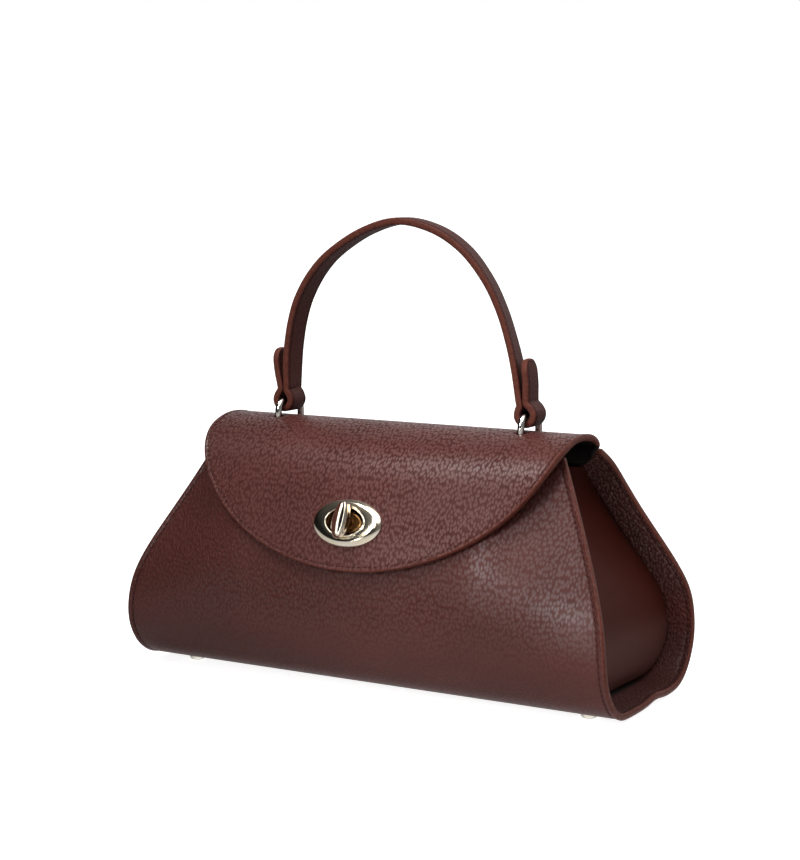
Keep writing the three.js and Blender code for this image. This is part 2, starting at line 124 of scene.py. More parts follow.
class Wire:  # one socket of a node tree; sums and products of wires add Math nodes
    def __init__(self, tree, socket=None):
        self.tree, self.socket = tree, socket

    def feed(self, node, sockets):
        for name, value in sockets.items():
            if isinstance(value, Wire):
                self.tree.links.new(value.socket, node.inputs[name])
            else:
                node.inputs[name].default_value = value

    def add(self, kind, settings=None, sockets=None, out=0):
        node = self.tree.nodes.new(kind)
        for name, value in (settings or {}).items():
            setattr(node, name, value)
        self.feed(node, sockets or {})
        return Wire(self.tree, node.outputs[out])

    def output(self, name):  # another output of the same node
        return Wire(self.tree, self.socket.node.outputs[name])

    def maths(self, operation, *values):
        return self.add("ShaderNodeMath", {"operation": operation}, dict(enumerate(values)))

    def __add__(self, other):
        return self.maths("ADD", self, other)

    def __radd__(self, other):
        return self.maths("ADD", other, self)

    def __sub__(self, other):
        return self.maths("SUBTRACT", self, other)

    def __rsub__(self, other):
        return self.maths("SUBTRACT", other, self)

    def __mul__(self, other):
        return self.maths("MULTIPLY", self, other)

    def __rmul__(self, other):
        return self.maths("MULTIPLY", other, self)

    def ramp(self, low, high, start=0.0, end=1.0):
        return self.add("ShaderNodeMapRange", {"interpolation_type": "SMOOTHSTEP"},
                        {0: self, 1: low, 2: high, 3: start, 4: end})

    def mixed(self, first, second):  # colour from first to second as this wire goes from 0 to 1
        return self.add("ShaderNodeMix", {"data_type": "RGBA"}, {0: self, 6: first, 7: second}, 2)

    def vector(self, operation, *values):
        return self.add("ShaderNodeVectorMath", {"operation": operation}, dict(enumerate(values)))

    def noise(self, place, scale, detail=2.0, roughness=0.5, out=0):
        return self.add("ShaderNodeTexNoise", None,
                        {"Vector": place, "Scale": scale, "Detail": detail, "Roughness": roughness}, out)


noiseSpan = (0.3, 0.7)  # most values of a noise lie in it


def newMaterial(name):
    material = bpy.data.materials.new(name)
    material.use_nodes = True
    return material, Wire(material.node_tree), material.node_tree.nodes["Principled BSDF"]


def leatherMaterial(name, look):
    material, wires, shader = newMaterial(name)

    def attribute(key, out):
        return wires.add("ShaderNodeAttribute", {"attribute_name": key}, out=out)

    place = attribute("hide", 1)  # millimetres on the hide
    rim = attribute("rim", 2)  # millimetres from the cut edge
    paintedLightAndLining = attribute("liningAndPaintedLight", 2)  # 1 on the dark lining and on painted shade, between 0 and 1 on lighter painted shade, 0 on the hide, below 0 on hide paler with painted sheen
    drift = wires.noise(place, look["driftScale"], 2, out=1)
    shifted = wires.vector("ADD", place, wires.vector("MULTIPLY", drift, (look["drift"],) * 3))
    cellWide, cellLong = look["cell"]
    sized = wires.vector("MULTIPLY", shifted, (1 / cellWide, 1 / cellLong, 1))
    reach = wires.add("ShaderNodeTexVoronoi", {"feature": "F1", "voronoi_dimensions": "2D"},
                      {"Vector": sized, "Scale": 1.0, "Randomness": look["scatter"]})
    hollow = reach.ramp(*look["hollow"])
    pebble = 1 - hollow
    drawn = wires.vector("MULTIPLY", shifted, look["streakScale"])
    streak = wires.noise(drawn, 1.0, 2, 0.45)
    streak = streak.ramp(*look["streakEdges"], 1.0, 0.0)  # 1 in a slit along the hide
    slit = reach.ramp(*look["slit"]) * (1 - look["streak"] + streak * look["streak"] * look["streakGain"])
    fine = wires.noise(place, look["fineScale"], 3, 0.6)
    patch = wires.noise(place, look["patchScale"], 3, 0.55)
    row = wires.add("ShaderNodeSeparateXYZ", None, {0: place}, 1)
    grainFade = row.ramp(*look["grainFadeFront"]) * row.ramp(*look["grainFadeBack"], 1.0, 0.0) * look["bottomSmoothed"]
    depth = patch.ramp(*noiseSpan, look["grainLow"], 1.0) * (1 - grainFade)
    painted = rim.ramp(look["paintWidth"], look["paintWidth"] + look["paintFade"], 1.0, 0.0)
    fromSeam = rim - look["seamAt"]
    groove = (fromSeam * fromSeam).ramp(0.0, look["seamSpread"], 1.0, 0.0)

    tone = wires.noise(place, look["toneScale"], 3, 0.6).ramp(*look["toneEdges"])
    hide = tone.mixed(look["dark"], look["light"])
    # Painted shade: the slits between pebbles are darkened as if shaded.
    hide = (slit * look["paintedCreaseShadeAmount"] * depth).mixed(hide, look["paintedCreaseShade"])
    # Painted highlight: pale specks on pebble tops where the attribute is below 0; without grain it is an
    # even painted sheen.
    paintedSheen = wires.noise(shifted, look["paintedSheenScale"], 2).ramp(*look["paintedSheenEdges"], look["paintedSheenFaint"], 1.0)
    paintedSheen = pebble.ramp(*look["pebbleTop"]) * paintedSheen
    paintedSheen = 1 - look["paintedSheenGrain"] + paintedSheen * look["paintedSheenGrain"]
    hide = (paintedLightAndLining.ramp(-1.0, 0.0, 1.0, 0.0) * paintedSheen).mixed(hide, look["paintedSheen"])
    # Painted shade darkens the sewn groove.
    hide = (groove * look["seamShadeAndDullness"]).mixed(hide, look["paintedCreaseShade"])
    hide = (fine.ramp(*look["fineEdges"]) * look["fineTint"]).mixed(hide, look["light"])
    paint = wires.noise(place, look["paintScale"], 3).ramp(*noiseSpan)
    paint = paint.mixed(look["edgeDark"], look["edgeLight"])

    height = pebble * depth * paintedLightAndLining.ramp(*look["grainEnds"], 1.0, 0.0) + fine * look["fineHeight"]
    blobs = wires.noise(place, look["blobScale"], 2) * painted * look["blobHeight"]
    height = height * (1 - painted) + blobs
    normal = wires.add("ShaderNodeBump", None,
                       {"Strength": 1.0, "Distance": look["grainHeight"] * mm, "Height": height})
    rough = look["roughness"] - look["fineRoughness"] / 2 + hollow * look["pitRoughness"]
    rough = rough + fine * look["fineRoughness"] + painted * (look["edgeRoughness"] - look["roughness"])
    gloss = (1 - hollow * depth * look["pitDullness"]) * (1 - grainFade * look["grainFadeDullness"])
    gloss = gloss * paintedLightAndLining.ramp(*look["glossEnds"], 1.0, 0.0)
    gloss = gloss * (1 - painted) * (1 - groove * look["seamShadeAndDullness"])
    wires.feed(shader, {
        "Base Color": painted.mixed(paintedLightAndLining.mixed(hide, look["liningAndPaintedLight"]), paint),
        "Roughness": rough + paintedLightAndLining.ramp(0.0, 1.0, 0.0, look["liningRoughness"]),
        "Normal": normal, "Specular IOR Level": look["specular"],
        "Coat Weight": gloss * look["coat"],
        "Coat Roughness": look["coatRoughness"], "Coat IOR": look["coatIor"],
    })
    return material


# Sizes are in millimetres, and a noise's scale is per millimetre.
grainLook = {
    "cell": (1.5, 2.7), "scatter": 0.87, "drift": 0.9, "driftScale": 0.25,  # pebbles of the grain
    "hollow": (0.05, 0.64), "slit": (0.34, 0.56),  # from a pebble's middle, in cells
    "streak": 0.6, "streakGain": 1.5, "streakScale": (0.9, 0.36, 1), "streakEdges": (0.4, 0.58),
    "grainHeight": 0.7, "grainLow": 0.75, "patchScale": 0.028, "pitDullness": 0.92, "pitRoughness": 0.14,
    "fineHeight": 0.12, "fineScale": 2.6, "fineEdges": (0.45, 0.8), "fineTint": 0.25, "fineRoughness": 0.1,
    # along the hide, where the grain, its coat and its painted crease shade fade out towards the bottom and
    # come back behind it
    "grainFadeFront": (84, 122), "grainFadeBack": (225, 265), "bottomSmoothed": 0.85, "grainFadeDullness": 0.6,
    "paintedSheen": (0.2, 0.116, 0.105, 1), "paintedSheenGrain": 0.86, "paintedSheenScale": 0.5, "paintedSheenEdges": (0.42, 0.6),
    "paintedSheenFaint": 0.22, "pebbleTop": (0.3, 0.8),  # painted highlight specks lie on the tops of pebbles
    "dark": (0.061, 0.0131, 0.0096, 1), "light": (0.081, 0.0184, 0.0138, 1),
    "toneScale": 0.012, "toneEdges": (0.25, 0.75),
    # colour of the painted shade in the slits and in the sewn groove, and how strong it is in the slits
    "paintedCreaseShade": (0.027, 0.0056, 0.0042, 1), "paintedCreaseShadeAmount": 0.3,
    # where the sewn groove lies, and how strong its painted shade and its loss of gloss are
    "seamAt": 3.6, "seamSpread": 0.9, "seamShadeAndDullness": 0.45,
    "edgeDark": (0.077, 0.0182, 0.0113, 1), "edgeLight": (0.11, 0.028, 0.018, 1), "edgeRoughness": 0.42,
    "paintWidth": 0.75, "paintFade": 0.35, "paintScale": 0.5, "blobScale": 0.7, "blobHeight": 0.35,
    "roughness": 0.5, "specular": 0.15, "coat": 0.78, "coatRoughness": 0.36, "coatIor": 1.5,
    # dark lining colour, also used for painted shade
    "liningAndPaintedLight": (0.008, 0.005, 0.0045, 1), "liningRoughness": 0.3,
    "grainEnds": (0.4, 0.8), "glossEnds": (0.1, 0.6),  # how far into the lining and its painted shade
}
# The flap's slits get a stronger painted shade.
flapLook = dict(
    grainLook, cell=(1.45, 2.8), hollow=(0.08, 0.6), streak=0.3, grainHeight=0.45, pitDullness=1.0,
    bottomSmoothed=0.0, dark=(0.074, 0.0169, 0.0126, 1), light=(0.098, 0.0236, 0.018, 1),
    paintedCreaseShade=(0.036, 0.0068, 0.0047, 1), paintedCreaseShadeAmount=0.85, seamAt=2.6, seamShadeAndDullness=0.12, coat=0.95,
)
strapLook = dict(
    grainLook, cell=(0.8, 1.2), streak=0.0, grainHeight=0.07, bottomSmoothed=0.0,
    dark=(0.055, 0.0138, 0.0105, 1), light=(0.073, 0.0192, 0.0149, 1), paintedCreaseShadeAmount=0.4, seamAt=1.9,
    # The strap's edge paint is lighter than the body's: its paint colour with a painted highlight where the
    # edges face the front lights.
    edgeDark=(0.088, 0.0255, 0.0165, 1), edgeLight=(0.125, 0.037, 0.025, 1), paintWidth=0.45,
    specular=0.1, coat=0.03,
)
# Its pale colour is the painted sheen of the gusset's lower part.
gussetLook = dict(
    grainLook, cell=(0.55, 0.75), streak=0.0, grainHeight=0.03, fineHeight=0.1, bottomSmoothed=0.0,
    dark=(0.043, 0.0076, 0.0048, 1), light=(0.055, 0.0107, 0.0072, 1), paintedCreaseShadeAmount=0.25, seamShadeAndDullness=0.0,
    paintedSheen=(0.076, 0.029, 0.0235, 1), paintedSheenGrain=0.0, paintWidth=0.5, roughness=0.45, specular=0.08, coat=0.0,
)
grainLeather = leatherMaterial("grainLeather", grainLook)
flapGrain = leatherMaterial("flapGrain", flapLook)
strapLeather = leatherMaterial("strapLeather", strapLook)
gussetLeather = leatherMaterial("gussetLeather", gussetLook)


def metalMaterial(name, look):
    material, wires, shader = newMaterial(name)
    place = wires.add("ShaderNodeTexCoord", out=3)
    cloud = wires.noise(place, look["cloudScale"], 3, 0.55)
    scratch = wires.noise(wires.vector("MULTIPLY", place, look["scratchScale"]), 1.0, 2, 0.6)
    colour = cloud.ramp(*look["warmEdges"]).mixed(look["pale"], look["warm"])
    # Painted reflection: the colour darkens where the surface turns away from the view, as if reflecting
    # dark surroundings.
    turned = wires.add("ShaderNodeLayerWeight", None, {"Blend": 0.5}, 1).ramp(*look["edgeWidth"])
    colour = (turned * look["paintedDarkReflection"]).mixed(colour, look["edge"])
    rough = look["roughness"] + scratch.ramp(*look["scratchEdges"]) * look["scratchRoughness"]
    rough = rough + cloud.ramp(*look["cloudEdges"]) * look["cloudRoughness"]
    normal = wires.add("ShaderNodeBump", None, {
        "Strength": look["scratchStrength"], "Distance": look["scratchDepth"] * mm, "Height": scratch})
    wires.feed(shader, {"Base Color": colour, "Metallic": 1.0, "Roughness": rough, "Normal": normal})
    return material


# Metal and thread read object coordinates, so their noise scales are per metre.
metalLook = {
    "pale": (0.93, 0.87, 0.75, 1), "warm": (0.88, 0.75, 0.54, 1), "warmEdges": (0.3, 0.75),
    "roughness": 0.12, "cloudScale": 90, "cloudEdges": (0.5, 0.8), "cloudRoughness": 0.05,
    "scratchScale": (9000, 1400, 900), "scratchEdges": (0.55, 0.8), "scratchRoughness": 0.07,
    "scratchStrength": 0.03, "scratchDepth": 0.04,
    "edge": (0.04, 0.036, 0.032, 1), "paintedDarkReflection": 0.0, "edgeWidth": (0.12, 0.4),  # painted dark reflection where it turns away
}
paleGold = metalMaterial("paleGold", metalLook)
ringMetal = metalMaterial("ringMetal", dict(
    metalLook, pale=(0.95, 0.92, 0.87, 1), warm=(0.92, 0.85, 0.74, 1), paintedDarkReflection=0.92))
# The boss is gold, darkened to brown as a painted dark reflection of the leather round the eyelet.
bossGold = metalMaterial("bossGold", dict(
    metalLook, pale=(0.24, 0.135, 0.055, 1), warm=(0.17, 0.085, 0.03, 1), roughness=0.26))
studMetal = metalMaterial("studMetal", dict(
    metalLook, pale=(0.95, 0.93, 0.88, 1), warm=(0.93, 0.86, 0.74, 1), roughness=0.3, paintedDarkReflection=0.5))

threadLook = {"dark": (0.02, 0.005, 0.0038, 1), "light": (0.042, 0.0105, 0.008, 1),
              "twistScale": 2500, "twistStrength": 0.5, "twistDepth": 0.1, "twistRoughness": 0.2,
              "roughness": 0.7, "specular": 0.1}


def threadMaterial(look):
    material, wires, shader = newMaterial("thread")
    place = wires.add("ShaderNodeTexCoord", out=3)
    twist = wires.noise(wires.vector("MULTIPLY", place, (look["twistScale"],) * 3), 1.0, 2)
    normal = wires.add("ShaderNodeBump", None, {
        "Strength": look["twistStrength"], "Distance": look["twistDepth"] * mm, "Height": twist})
    wires.feed(shader, {
        "Base Color": twist.ramp(*noiseSpan).mixed(look["dark"], look["light"]), "Normal": normal,
        "Roughness": look["roughness"] + twist * look["twistRoughness"],
        "Specular IOR Level": look["specular"]})
    return material


thread = threadMaterial(threadLook)
print("materials made")


def inMetres(points):
    points = np.asarray(points, float).reshape(-1, 3)
    return ((points - [0, sectionMiddle, 0]) * mm).tolist()


def setAttribute(mesh, key, values):
    values = np.asarray(values, np.float32)
    kind, field = ("FLOAT", "value") if values.ndim == 1 else ("FLOAT_VECTOR", "vector")
    mesh.attributes.new(key, kind, "POINT").data.foreach_set(field, values.ravel())


def handOver(name, node, mesh, body="bag"):  # node is the solid that the piece stands for
    piece = linked(name, mesh)
    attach(piece, body)
    if node:
        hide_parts(node)
    print(name, "made with", len(mesh.polygons), "faces")


def makePiece(name, node, slot, material, points, faces, attributes=None, body="bag"):
    mesh = bpy.data.meshes.new(name)
    mesh.from_pydata(inMetres(points), [], faces)
    for key, values in (attributes or {}).items():
        setAttribute(mesh, key, values)
    mesh.polygons.foreach_set("use_smooth", np.ones(len(mesh.polygons), bool))
    mesh.materials.append(material)
    mesh.validate()
    mesh.update()
    handOver(name, node, mesh, body)


# Closed sheet of leather from its two faces, joined along the border. Lining, painted shade and painted
# sheen are given for both faces, and innerHide shifts the inner face's grain.
def makeSheet(name, node, slot, material, twoFaces, border, faces, hide, rim,
              liningAndPaintedLight=(0, 0), innerHide=(0, 0, 0)):
    outer, inner, hide = (np.reshape(values, (-1, 3)) for values in (*twoFaces, hide))
    rim, keep = np.ravel(rim), ~np.ravel(border)
    outerLiningAndLight, innerLiningAndLight = (np.broadcast_to(np.ravel(values), rim.shape) for values in liningAndPaintedLight)
    number = np.arange(len(outer))
    number[keep] = len(outer) + np.arange(keep.sum())
    back = [tuple(int(number[i]) for i in reversed(face)) for face in faces]
    makePiece(name, node, slot, material, np.concatenate([outer, inner[keep]]), faces + back, {
        "hide": np.concatenate([hide, hide[keep] + innerHide]), "rim": np.concatenate([rim, rim[keep]]),
        "liningAndPaintedLight": np.concatenate([outerLiningAndLight, innerLiningAndLight[keep]])})


def gridFaces(columns, rows, closedColumns=False, closedRows=False, turned=False):
    faces = []
    for i in range(columns if closedColumns else columns - 1):
        for j in range(rows if closedRows else rows - 1):
            p, q = (i + 1) % columns, (j + 1) % rows
            face = tuple(a * rows + b for a, b in ((i, j), (p, j), (p, q), (i, q)))
            faces.append(face[::-1] if turned else face)
    return faces


def roundedHalf(distance, edge):  # half the leather's thickness at a distance from its cut edge
    inside = np.clip(distance / edge["roundness"], 0, 1)
    corner = (1 - (1 - inside) ** edge["squareness"]) ** (1 / edge["squareness"])
    flare = edge["flare"] * bump(0, edge["flareReach"], distance)
    return (wall / 2 + flare) * corner


def sewnDip(distance, edge):
    return edge["seamDepth"] * bump(edge["seamAt"], edge["seamWidth"], distance)


edgeSteps = np.array([0, 0.06, 0.22, 0.45, 0.75, 1.15, 1.6, 2.1, 2.6, 3.0, 3.3, 3.6, 3.9, 4.2, 4.7, 5.3,
                      6.2, 7.5, 9.5, 12, 15, 18.5])  # distances of the rows of points beside a cut edge
cutEdge = {"roundness": 1.0, "squareness": 2.4, "flare": 0.42, "flareReach": 2.6,
           "seamAt": grainLook["seamAt"], "seamDepth": 0.34, "seamWidth": 0.75}
flapSeam = {"seamAt": flapLook["seamAt"], "seamDepth": 0.1, "seamWidth": 0.8}
# Where each piece or face lies on the pattern of the hide, so that no two show the same grain
hidePlaces = {"wrapInside": (400, 400, 0), "gussetInside": (300, 0, 0), "flap": 700,
              "flapInside": (400, 0, 0), "strap": 1500, "strapFaces": 40, "tab": 2300}

# Wrap of the body: z, half width, depth at the side edges, depth at the middle,
# from the front's top edge, round the bottom, to the back's top edge
section = [
    (135, 107.7, -16.6, -23.8), (119, 115.7, -22.7, -36.4), (102, 124.4, -30.1, -46.5),
    (85.5, 133, -38.1, -54.4), (70, 140.5, -46, -59), (55, 145.9, -52, -60),
    (40, 148.3, -54.6, -58.2), (26, 149.1, -53.2, -54.5), (13, 149.3, -45.5, -46),
    (5.1, 148.8, -34, -34), (3.2, 148.5, -20, -20), (3.2, 148.5, 6.5, 6.5),
    (3.2, 148.5, 33, 33), (5.1, 148.8, 47, 47), (13, 149.3, 57.5, 58.5),
    (26, 149.1, 65.8, 67.5), (40, 148.3, 68.2, 71), (55, 145.9, 67, 72),
    (70, 140.5, 60.6, 69), (85, 133.2, 53.5, 63.5), (100, 125.4, 46.9, 56),
    (113.5, 118.5, 42.3, 47), (125, 114.3, 35.6, 35.6), (130.3, 112.6, 29.8, 29.8),
    (134.8, 111.2, 23.2, 23.2),
]
wrapSettings = {
    "stepsPerRow": 24, "blur": 0.4, "samples": 2401, "rowStep": 2.2, "middleColumns": 70,
    "pinchStart": 70.0,  # distance from the middle
    # lift of the bottom's side edges
    "liftRow": 11.3, "liftWidth": 0.36, "liftLeft": 0.7, "liftRight": 1.5, "liftReach": 16.0,
    "endPaintedShade": 0.4, "endPaintedHighlights": 1.0, "endLightens": (14.5, 18.5),  # inner face outside the gussets: painted shade on its lower rows, painted highlight specks on its upper rows
}
lastRow = len(section) - 1
denseSection = softened(section, wrapSettings["stepsPerRow"], wrapSettings["blur"])


def wrapRow(t):
    return np.moveaxis(denseAt(denseSection, wrapSettings["stepsPerRow"], t), -1, 0)


def wrapHalf(t):
    return wrapRow(t)[1]


def wrapFace(x, t):  # point of the wrap's outer face, before it is moved to the bag's middle
    z, half, edgeDepth, middleDepth = wrapRow(t)
    pinch = smoothRamp(wrapSettings["pinchStart"], half, np.abs(x))
    lifted = np.where(x > 0, wrapSettings["liftRight"], wrapSettings["liftLeft"])
    lifted = lifted * bump(wrapSettings["liftRow"], wrapSettings["liftWidth"], t)
    z = z + lifted * smoothRamp(half - wrapSettings["liftReach"], half, np.abs(x))
    return np.stack([x + 0 * z, middleDepth + (edgeDepth - middleDepth) * pinch, z], axis=-1)


def wrapPoint(x, t, sunk):
    x, t = np.broadcast_arrays(np.asarray(x, float), np.asarray(t, float))
    rowStep, sideStep = 0.12, 0.5  # for the slopes
    low, high = np.clip(t - rowStep, 0, lastRow), np.clip(t + rowStep, 0, lastRow)
    down = wrapFace(x, high) - wrapFace(x, low)
    across = wrapFace(x + sideStep, t) - wrapFace(x - sideStep, t)
    return wrapFace(x, t) - unit(np.cross(down, across)) * np.asarray(sunk)[..., None]


gussetSettings = {
    "inset": 21.0,
    "backInset": [25, 21, 17, 15, 15, 16.5, 19, 21, 21, 20, 18],  # of its back edge, from the bottom up
    "frontRow": 10, "frontReach": 0.965, "backRow": 12, "rows": 10, "lowRows": 3, "rowLength": 11.0,
    "thick": 2.0, "seated": 0.12, "bow": 4.0, "roll": 1.6, "rollReach": 2.6, "lowSeam": 6.0,
    "topRound": 0.8, "middleRows": 60, "middleColumns": 34,
    "paler": (52.0, 22.0),  # heights between which it turns paler, going down: a painted sheen standing for the floor's reflection
}


def bodyWrap():
    fine = np.linspace(0, lastRow, wrapSettings["samples"])
    lengths = runAlong(wrapFace(np.zeros_like(fine), fine))
    total = lengths[-1]
    between = np.linspace(edgeSteps[-1], total - edgeSteps[-1], int(total / wrapSettings["rowStep"]))[1:-1]
    rowLengths = np.concatenate([edgeSteps, between, total - edgeSteps[::-1]])
    t = np.interp(rowLengths, lengths, fine)[None, :]
    half = wrapHalf(t)
    side = half - edgeSteps[:, None]
    spread = np.linspace(-1, 1, wrapSettings["middleColumns"])[1:-1, None]
    x = np.concatenate([-side, spread * side[-1:], side[::-1]])
    t = t + 0 * x
    toSide = half - np.abs(x)
    distance = np.maximum(np.minimum(toSide, np.minimum(rowLengths, total - rowLengths)), 0)
    thick = roundedHalf(distance, cutEdge) - sewnDip(distance, cutEdge)
    twoFaces = [wrapPoint(x, t, wall / 2 - face * thick) for face in (1, -1)]
    hide = np.stack([x, rowLengths + 0 * x, 0 * x], axis=-1)
    # On the inner face outside the gussets, painted shade darkens the lower rows and painted highlight
    # specks lighten the upper ones.
    upper = smoothRamp(*wrapSettings["endLightens"], t)
    ends = wrapSettings["endPaintedShade"] * (1 - upper) - wrapSettings["endPaintedHighlights"] * upper
    inside = np.where(toSide > gussetSettings["inset"], 1.0, ends)
    makeSheet("bodyWrapLeather", "body_wrap", "grained_leather", grainLeather, twoFaces, distance <= 0,
              gridFaces(*x.shape), hide, distance, (0, inside), hidePlaces["wrapInside"])


gussetRowEnds = np.array([0, 0.0015, 0.005, 0.01, 0.018, 0.03])
gussetColumnEnds = np.array([0, 0.004, 0.012, 0.024, 0.04, 0.06, 0.085])


def closeEnded(ends, count):  # steps from 0 to 1, even between the close ones at both ends
    return np.concatenate([ends[:-1], np.linspace(ends[-1], 1 - ends[-1], count), 1 - ends[-2::-1]])


def gusset(name, node, hand):
    shape, rows = gussetSettings, gussetSettings["rows"]
    level, part = np.meshgrid(closeEnded(gussetRowEnds, shape["middleRows"]) * rows,
                              closeEnded(gussetColumnEnds, shape["middleColumns"]))

    def seat(t, inset):
        return wrapPoint(hand * (wrapHalf(t) - inset), t, wall - shape["seated"] + 0 * t)

    backEdge = tableCurve([[inset] for inset in shape["backInset"]], level)[..., 0]
    widening = shape["backInset"][0] - shape["inset"]
    frontEdge = shape["inset"] + widening * smoothRamp(shape["lowRows"], 0, level)
    front = seat(shape["frontRow"] - level * shape["frontReach"], frontEdge)
    back = seat(shape["backRow"] + level, backEdge)
    middle = front + (back - front) * part[..., None]
    width = np.linalg.norm(back - front, axis=-1)
    seam = np.minimum(np.minimum(part, 1 - part) * width, middle[..., 2] - shape["lowSeam"])
    bow = shape["bow"] * 4 * part * (1 - part) * smoothRamp(0, shape["lowRows"], level)
    roll = shape["roll"] * np.exp(-np.maximum(seam, 0) / shape["rollReach"])
    toTop = (rows - level) * shape["rowLength"]
    halfThick = shape["thick"] / 2 * rounding(toTop, shape["topRound"])
    outer, inner = middle.copy(), middle.copy()
    outer[..., 0] += hand * (halfThick - bow - roll)
    inner[..., 0] += hand * (-halfThick - bow - roll)
    sewn = np.zeros(level.shape, bool)
    sewn[[0, -1]] = sewn[:, 0] = True
    outer[sewn] = middle[sewn] - [hand * shape["roll"], 0, 0]
    border = sewn.copy()
    border[:, -1] = True
    hide = np.stack([part * width, middle[..., 2], 0 * part], axis=-1)
    # Painted reflection: the gusset's lower part turns paler, like the floor's sheen on it.
    paler = smoothRamp(*shape["paler"], middle[..., 2])
    faces = gridFaces(*level.shape, turned=hand > 0)
    makeSheet(name, node, "smooth_leather", gussetLeather, [outer, inner], border, faces, hide, toTop,
              (-paler, 1), hidePlaces["gussetInside"])


bodyWrap()
for side, hand in hands:
    gusset("gusset" + side.capitalize(), "gusset_" + side, hand)

# The flap's holes follow the rings and the lock, so their sizes come first.
ringShape = {"x": 76.6, "y": 6.0, "z": 144.0, "halfWidth": 11.6, "halfHeight": 9.5, "squareness": 3.0,
             "wireRadius": 1.9, "loopRoom": 1.0, "barRise": 0.5, "turnLeft": 0.0, "turnRight": 2.0,
             "steps": 160, "around": 18, "softenings": 3}
lockShape = {"height": 95.5, "eyeletLong": 11.4, "eyeletHigh": 7.6, "plateLong": 21.0, "plateHigh": 13.2,
             "pointed": 0.18, "leanSine": 0.404178, "leanCosine": 0.914681, "steps": 180, "rows": 76}
flapSettings = {
    "halfWidth": 111.0, "drop": 86.2, "tipHeight": 71.6, "bulge": 3.0, "blur": 0.3,
    "hemLength": 15.0, "hemNarrowed": 0.9, "ridgeLow": 138, "ridgeFront": -20,
    "outlineStep": 1.5, "gridStep": 2.5, "rowRatio": 0.87, "edgeRoom": 1.4, "holeRoom": 1.2,
    "slack": 0.02, "touching": 1e-3, "merged": 1e-4,  # distances that count as none
    "eyeletRoom": 0.6, "eyeletSteps": 48, "ringHole": (2.5, 2.9), "ringHoleIn": 0.4, "ringHoleSteps": 20,
    "holeRound": 1.2, "holeDip": 0.5, "holeDipWidth": 2.2,
}
curveSamples = 4001  # points of a fine line that lengths are read from
flapEdgeSteps = edgeSteps[edgeSteps < 9]
holeSteps = np.array([0.08, 0.3, 0.7, 1.3, 2.1])

# Flap's side view: y and z of its outer face, from under the back's top edge to past the front tip
flapProfile = [
    (19.9, 132.9), (21.5, 136.2), (20.2, 139.4), (14, 142.8), (4.5, 144.5), (-5, 144.6),
    (-13, 143.2), (-21, 140.4), (-28.5, 136.2), (-35, 130), (-40.2, 122.5), (-44.6, 114),
    (-48.7, 105.2), (-52.7, 96.5), (-56.3, 88), (-59.2, 79.5), (-61.3, 71), (-62.6, 62),
]
flapHem = [(22.8, 3.5), (23.3, 3.6), (23.8, 4.1)]  # rows of the back that it lies under, and how deep
hemPoints = [tuple(wrapPoint(0.0, row, sunk)[1:]) for row, sunk in flapHem]
flapDense = softened(hemPoints + flapProfile, wrapSettings["stepsPerRow"], flapSettings["blur"])
flapLengths = runAlong(flapDense)
flapForward = unit(np.gradient(flapDense, flapLengths, axis=0))


def flapLengthAtHeight(z):
    front = np.flatnonzero(flapDense[:, 0] < 0)[::-1]
    return float(np.interp(z, flapDense[front, 1], flapLengths[front]))


def flapLengthAtDepth(y):
    depth, height = flapDense.T
    ridge = np.flatnonzero((height > flapSettings["ridgeLow"]) & (depth > flapSettings["ridgeFront"]))
    return float(np.interp(-y, -depth[ridge], flapLengths[ridge]))


flapSides = flapLengthAtHeight(flapSettings["tipHeight"]) - flapSettings["drop"]  # where its sides curve in
lockLength = flapLengthAtHeight(lockShape["height"])


def flapPoint(x, length, sunk):
    x, length, sunk = np.broadcast_arrays(*(np.asarray(v, float) for v in (x, length, sunk)))
    hem = 1 - smoothRamp(0, flapSettings["hemLength"], length)
    x = x * (1 - (1 - flapSettings["hemNarrowed"]) * hem)
    y, z = (np.interp(length, flapLengths, column) for column in flapDense.T)
    forwardY, forwardZ = (np.interp(length, flapLengths, column) for column in flapForward.T)
    nearMiddle = np.clip(1 - (x / flapSettings["halfWidth"]) ** 2, 0, 1)
    below = smoothRamp(flapSides, flapSides + flapSettings["drop"] / 2, length)
    out = flapSettings["bulge"] * nearMiddle ** 2 * below - sunk
    return np.stack([x, y + forwardZ * out, z - forwardY * out], axis=-1)


def ringTurn(hand):
    return math.radians(ringShape["turnRight"] if hand > 0 else ringShape["turnLeft"])


def flapOutline(step):
    half, drop = flapSettings["halfWidth"], flapSettings["drop"]
    side = np.linspace(0, flapSides, int(flapSides / step), endpoint=False)

    def tipCurve(angle):
        return np.stack([half * np.sin(angle), flapSides + drop * np.cos(angle)], axis=1)

    fine = np.linspace(-math.pi / 2, math.pi / 2, curveSamples)
    run = runAlong(tipCurve(fine))
    tip = tipCurve(np.interp(np.linspace(0, run[-1], int(run[-1] / step)), run, fine))
    left = np.stack([-half + 0 * side, side], axis=1)
    right = np.stack([half + 0 * side, side], axis=1)[::-1]
    rear = np.linspace(half, -half, int(2 * half / step))[1:-1]
    return np.concatenate([left, tip, right, np.stack([rear, 0 * rear], axis=1)])


def toLoop(points, loop, closed=True):  # distance from points to a line
    start, end = (loop, np.roll(loop, -1, axis=0)) if closed else (loop[:-1], loop[1:])
    best = np.full(len(points), np.inf)
    for a, d in zip(start, end - start):
        part = np.clip(((points - a) @ d) / (d @ d), 0, 1)
        best = np.minimum(best, np.linalg.norm(points - a - part[:, None] * d, axis=1))
    return best


def inLoop(points, loop):
    inside = np.zeros(len(points), bool)
    for (ax, ay), (bx, by) in zip(loop, np.roll(loop, -1, axis=0)):
        if ay != by:
            crosses = (ay > points[:, 1]) != (by > points[:, 1])
            inside ^= crosses & (points[:, 0] < ax + (points[:, 1] - ay) * (bx - ax) / (by - ay))
    return inside


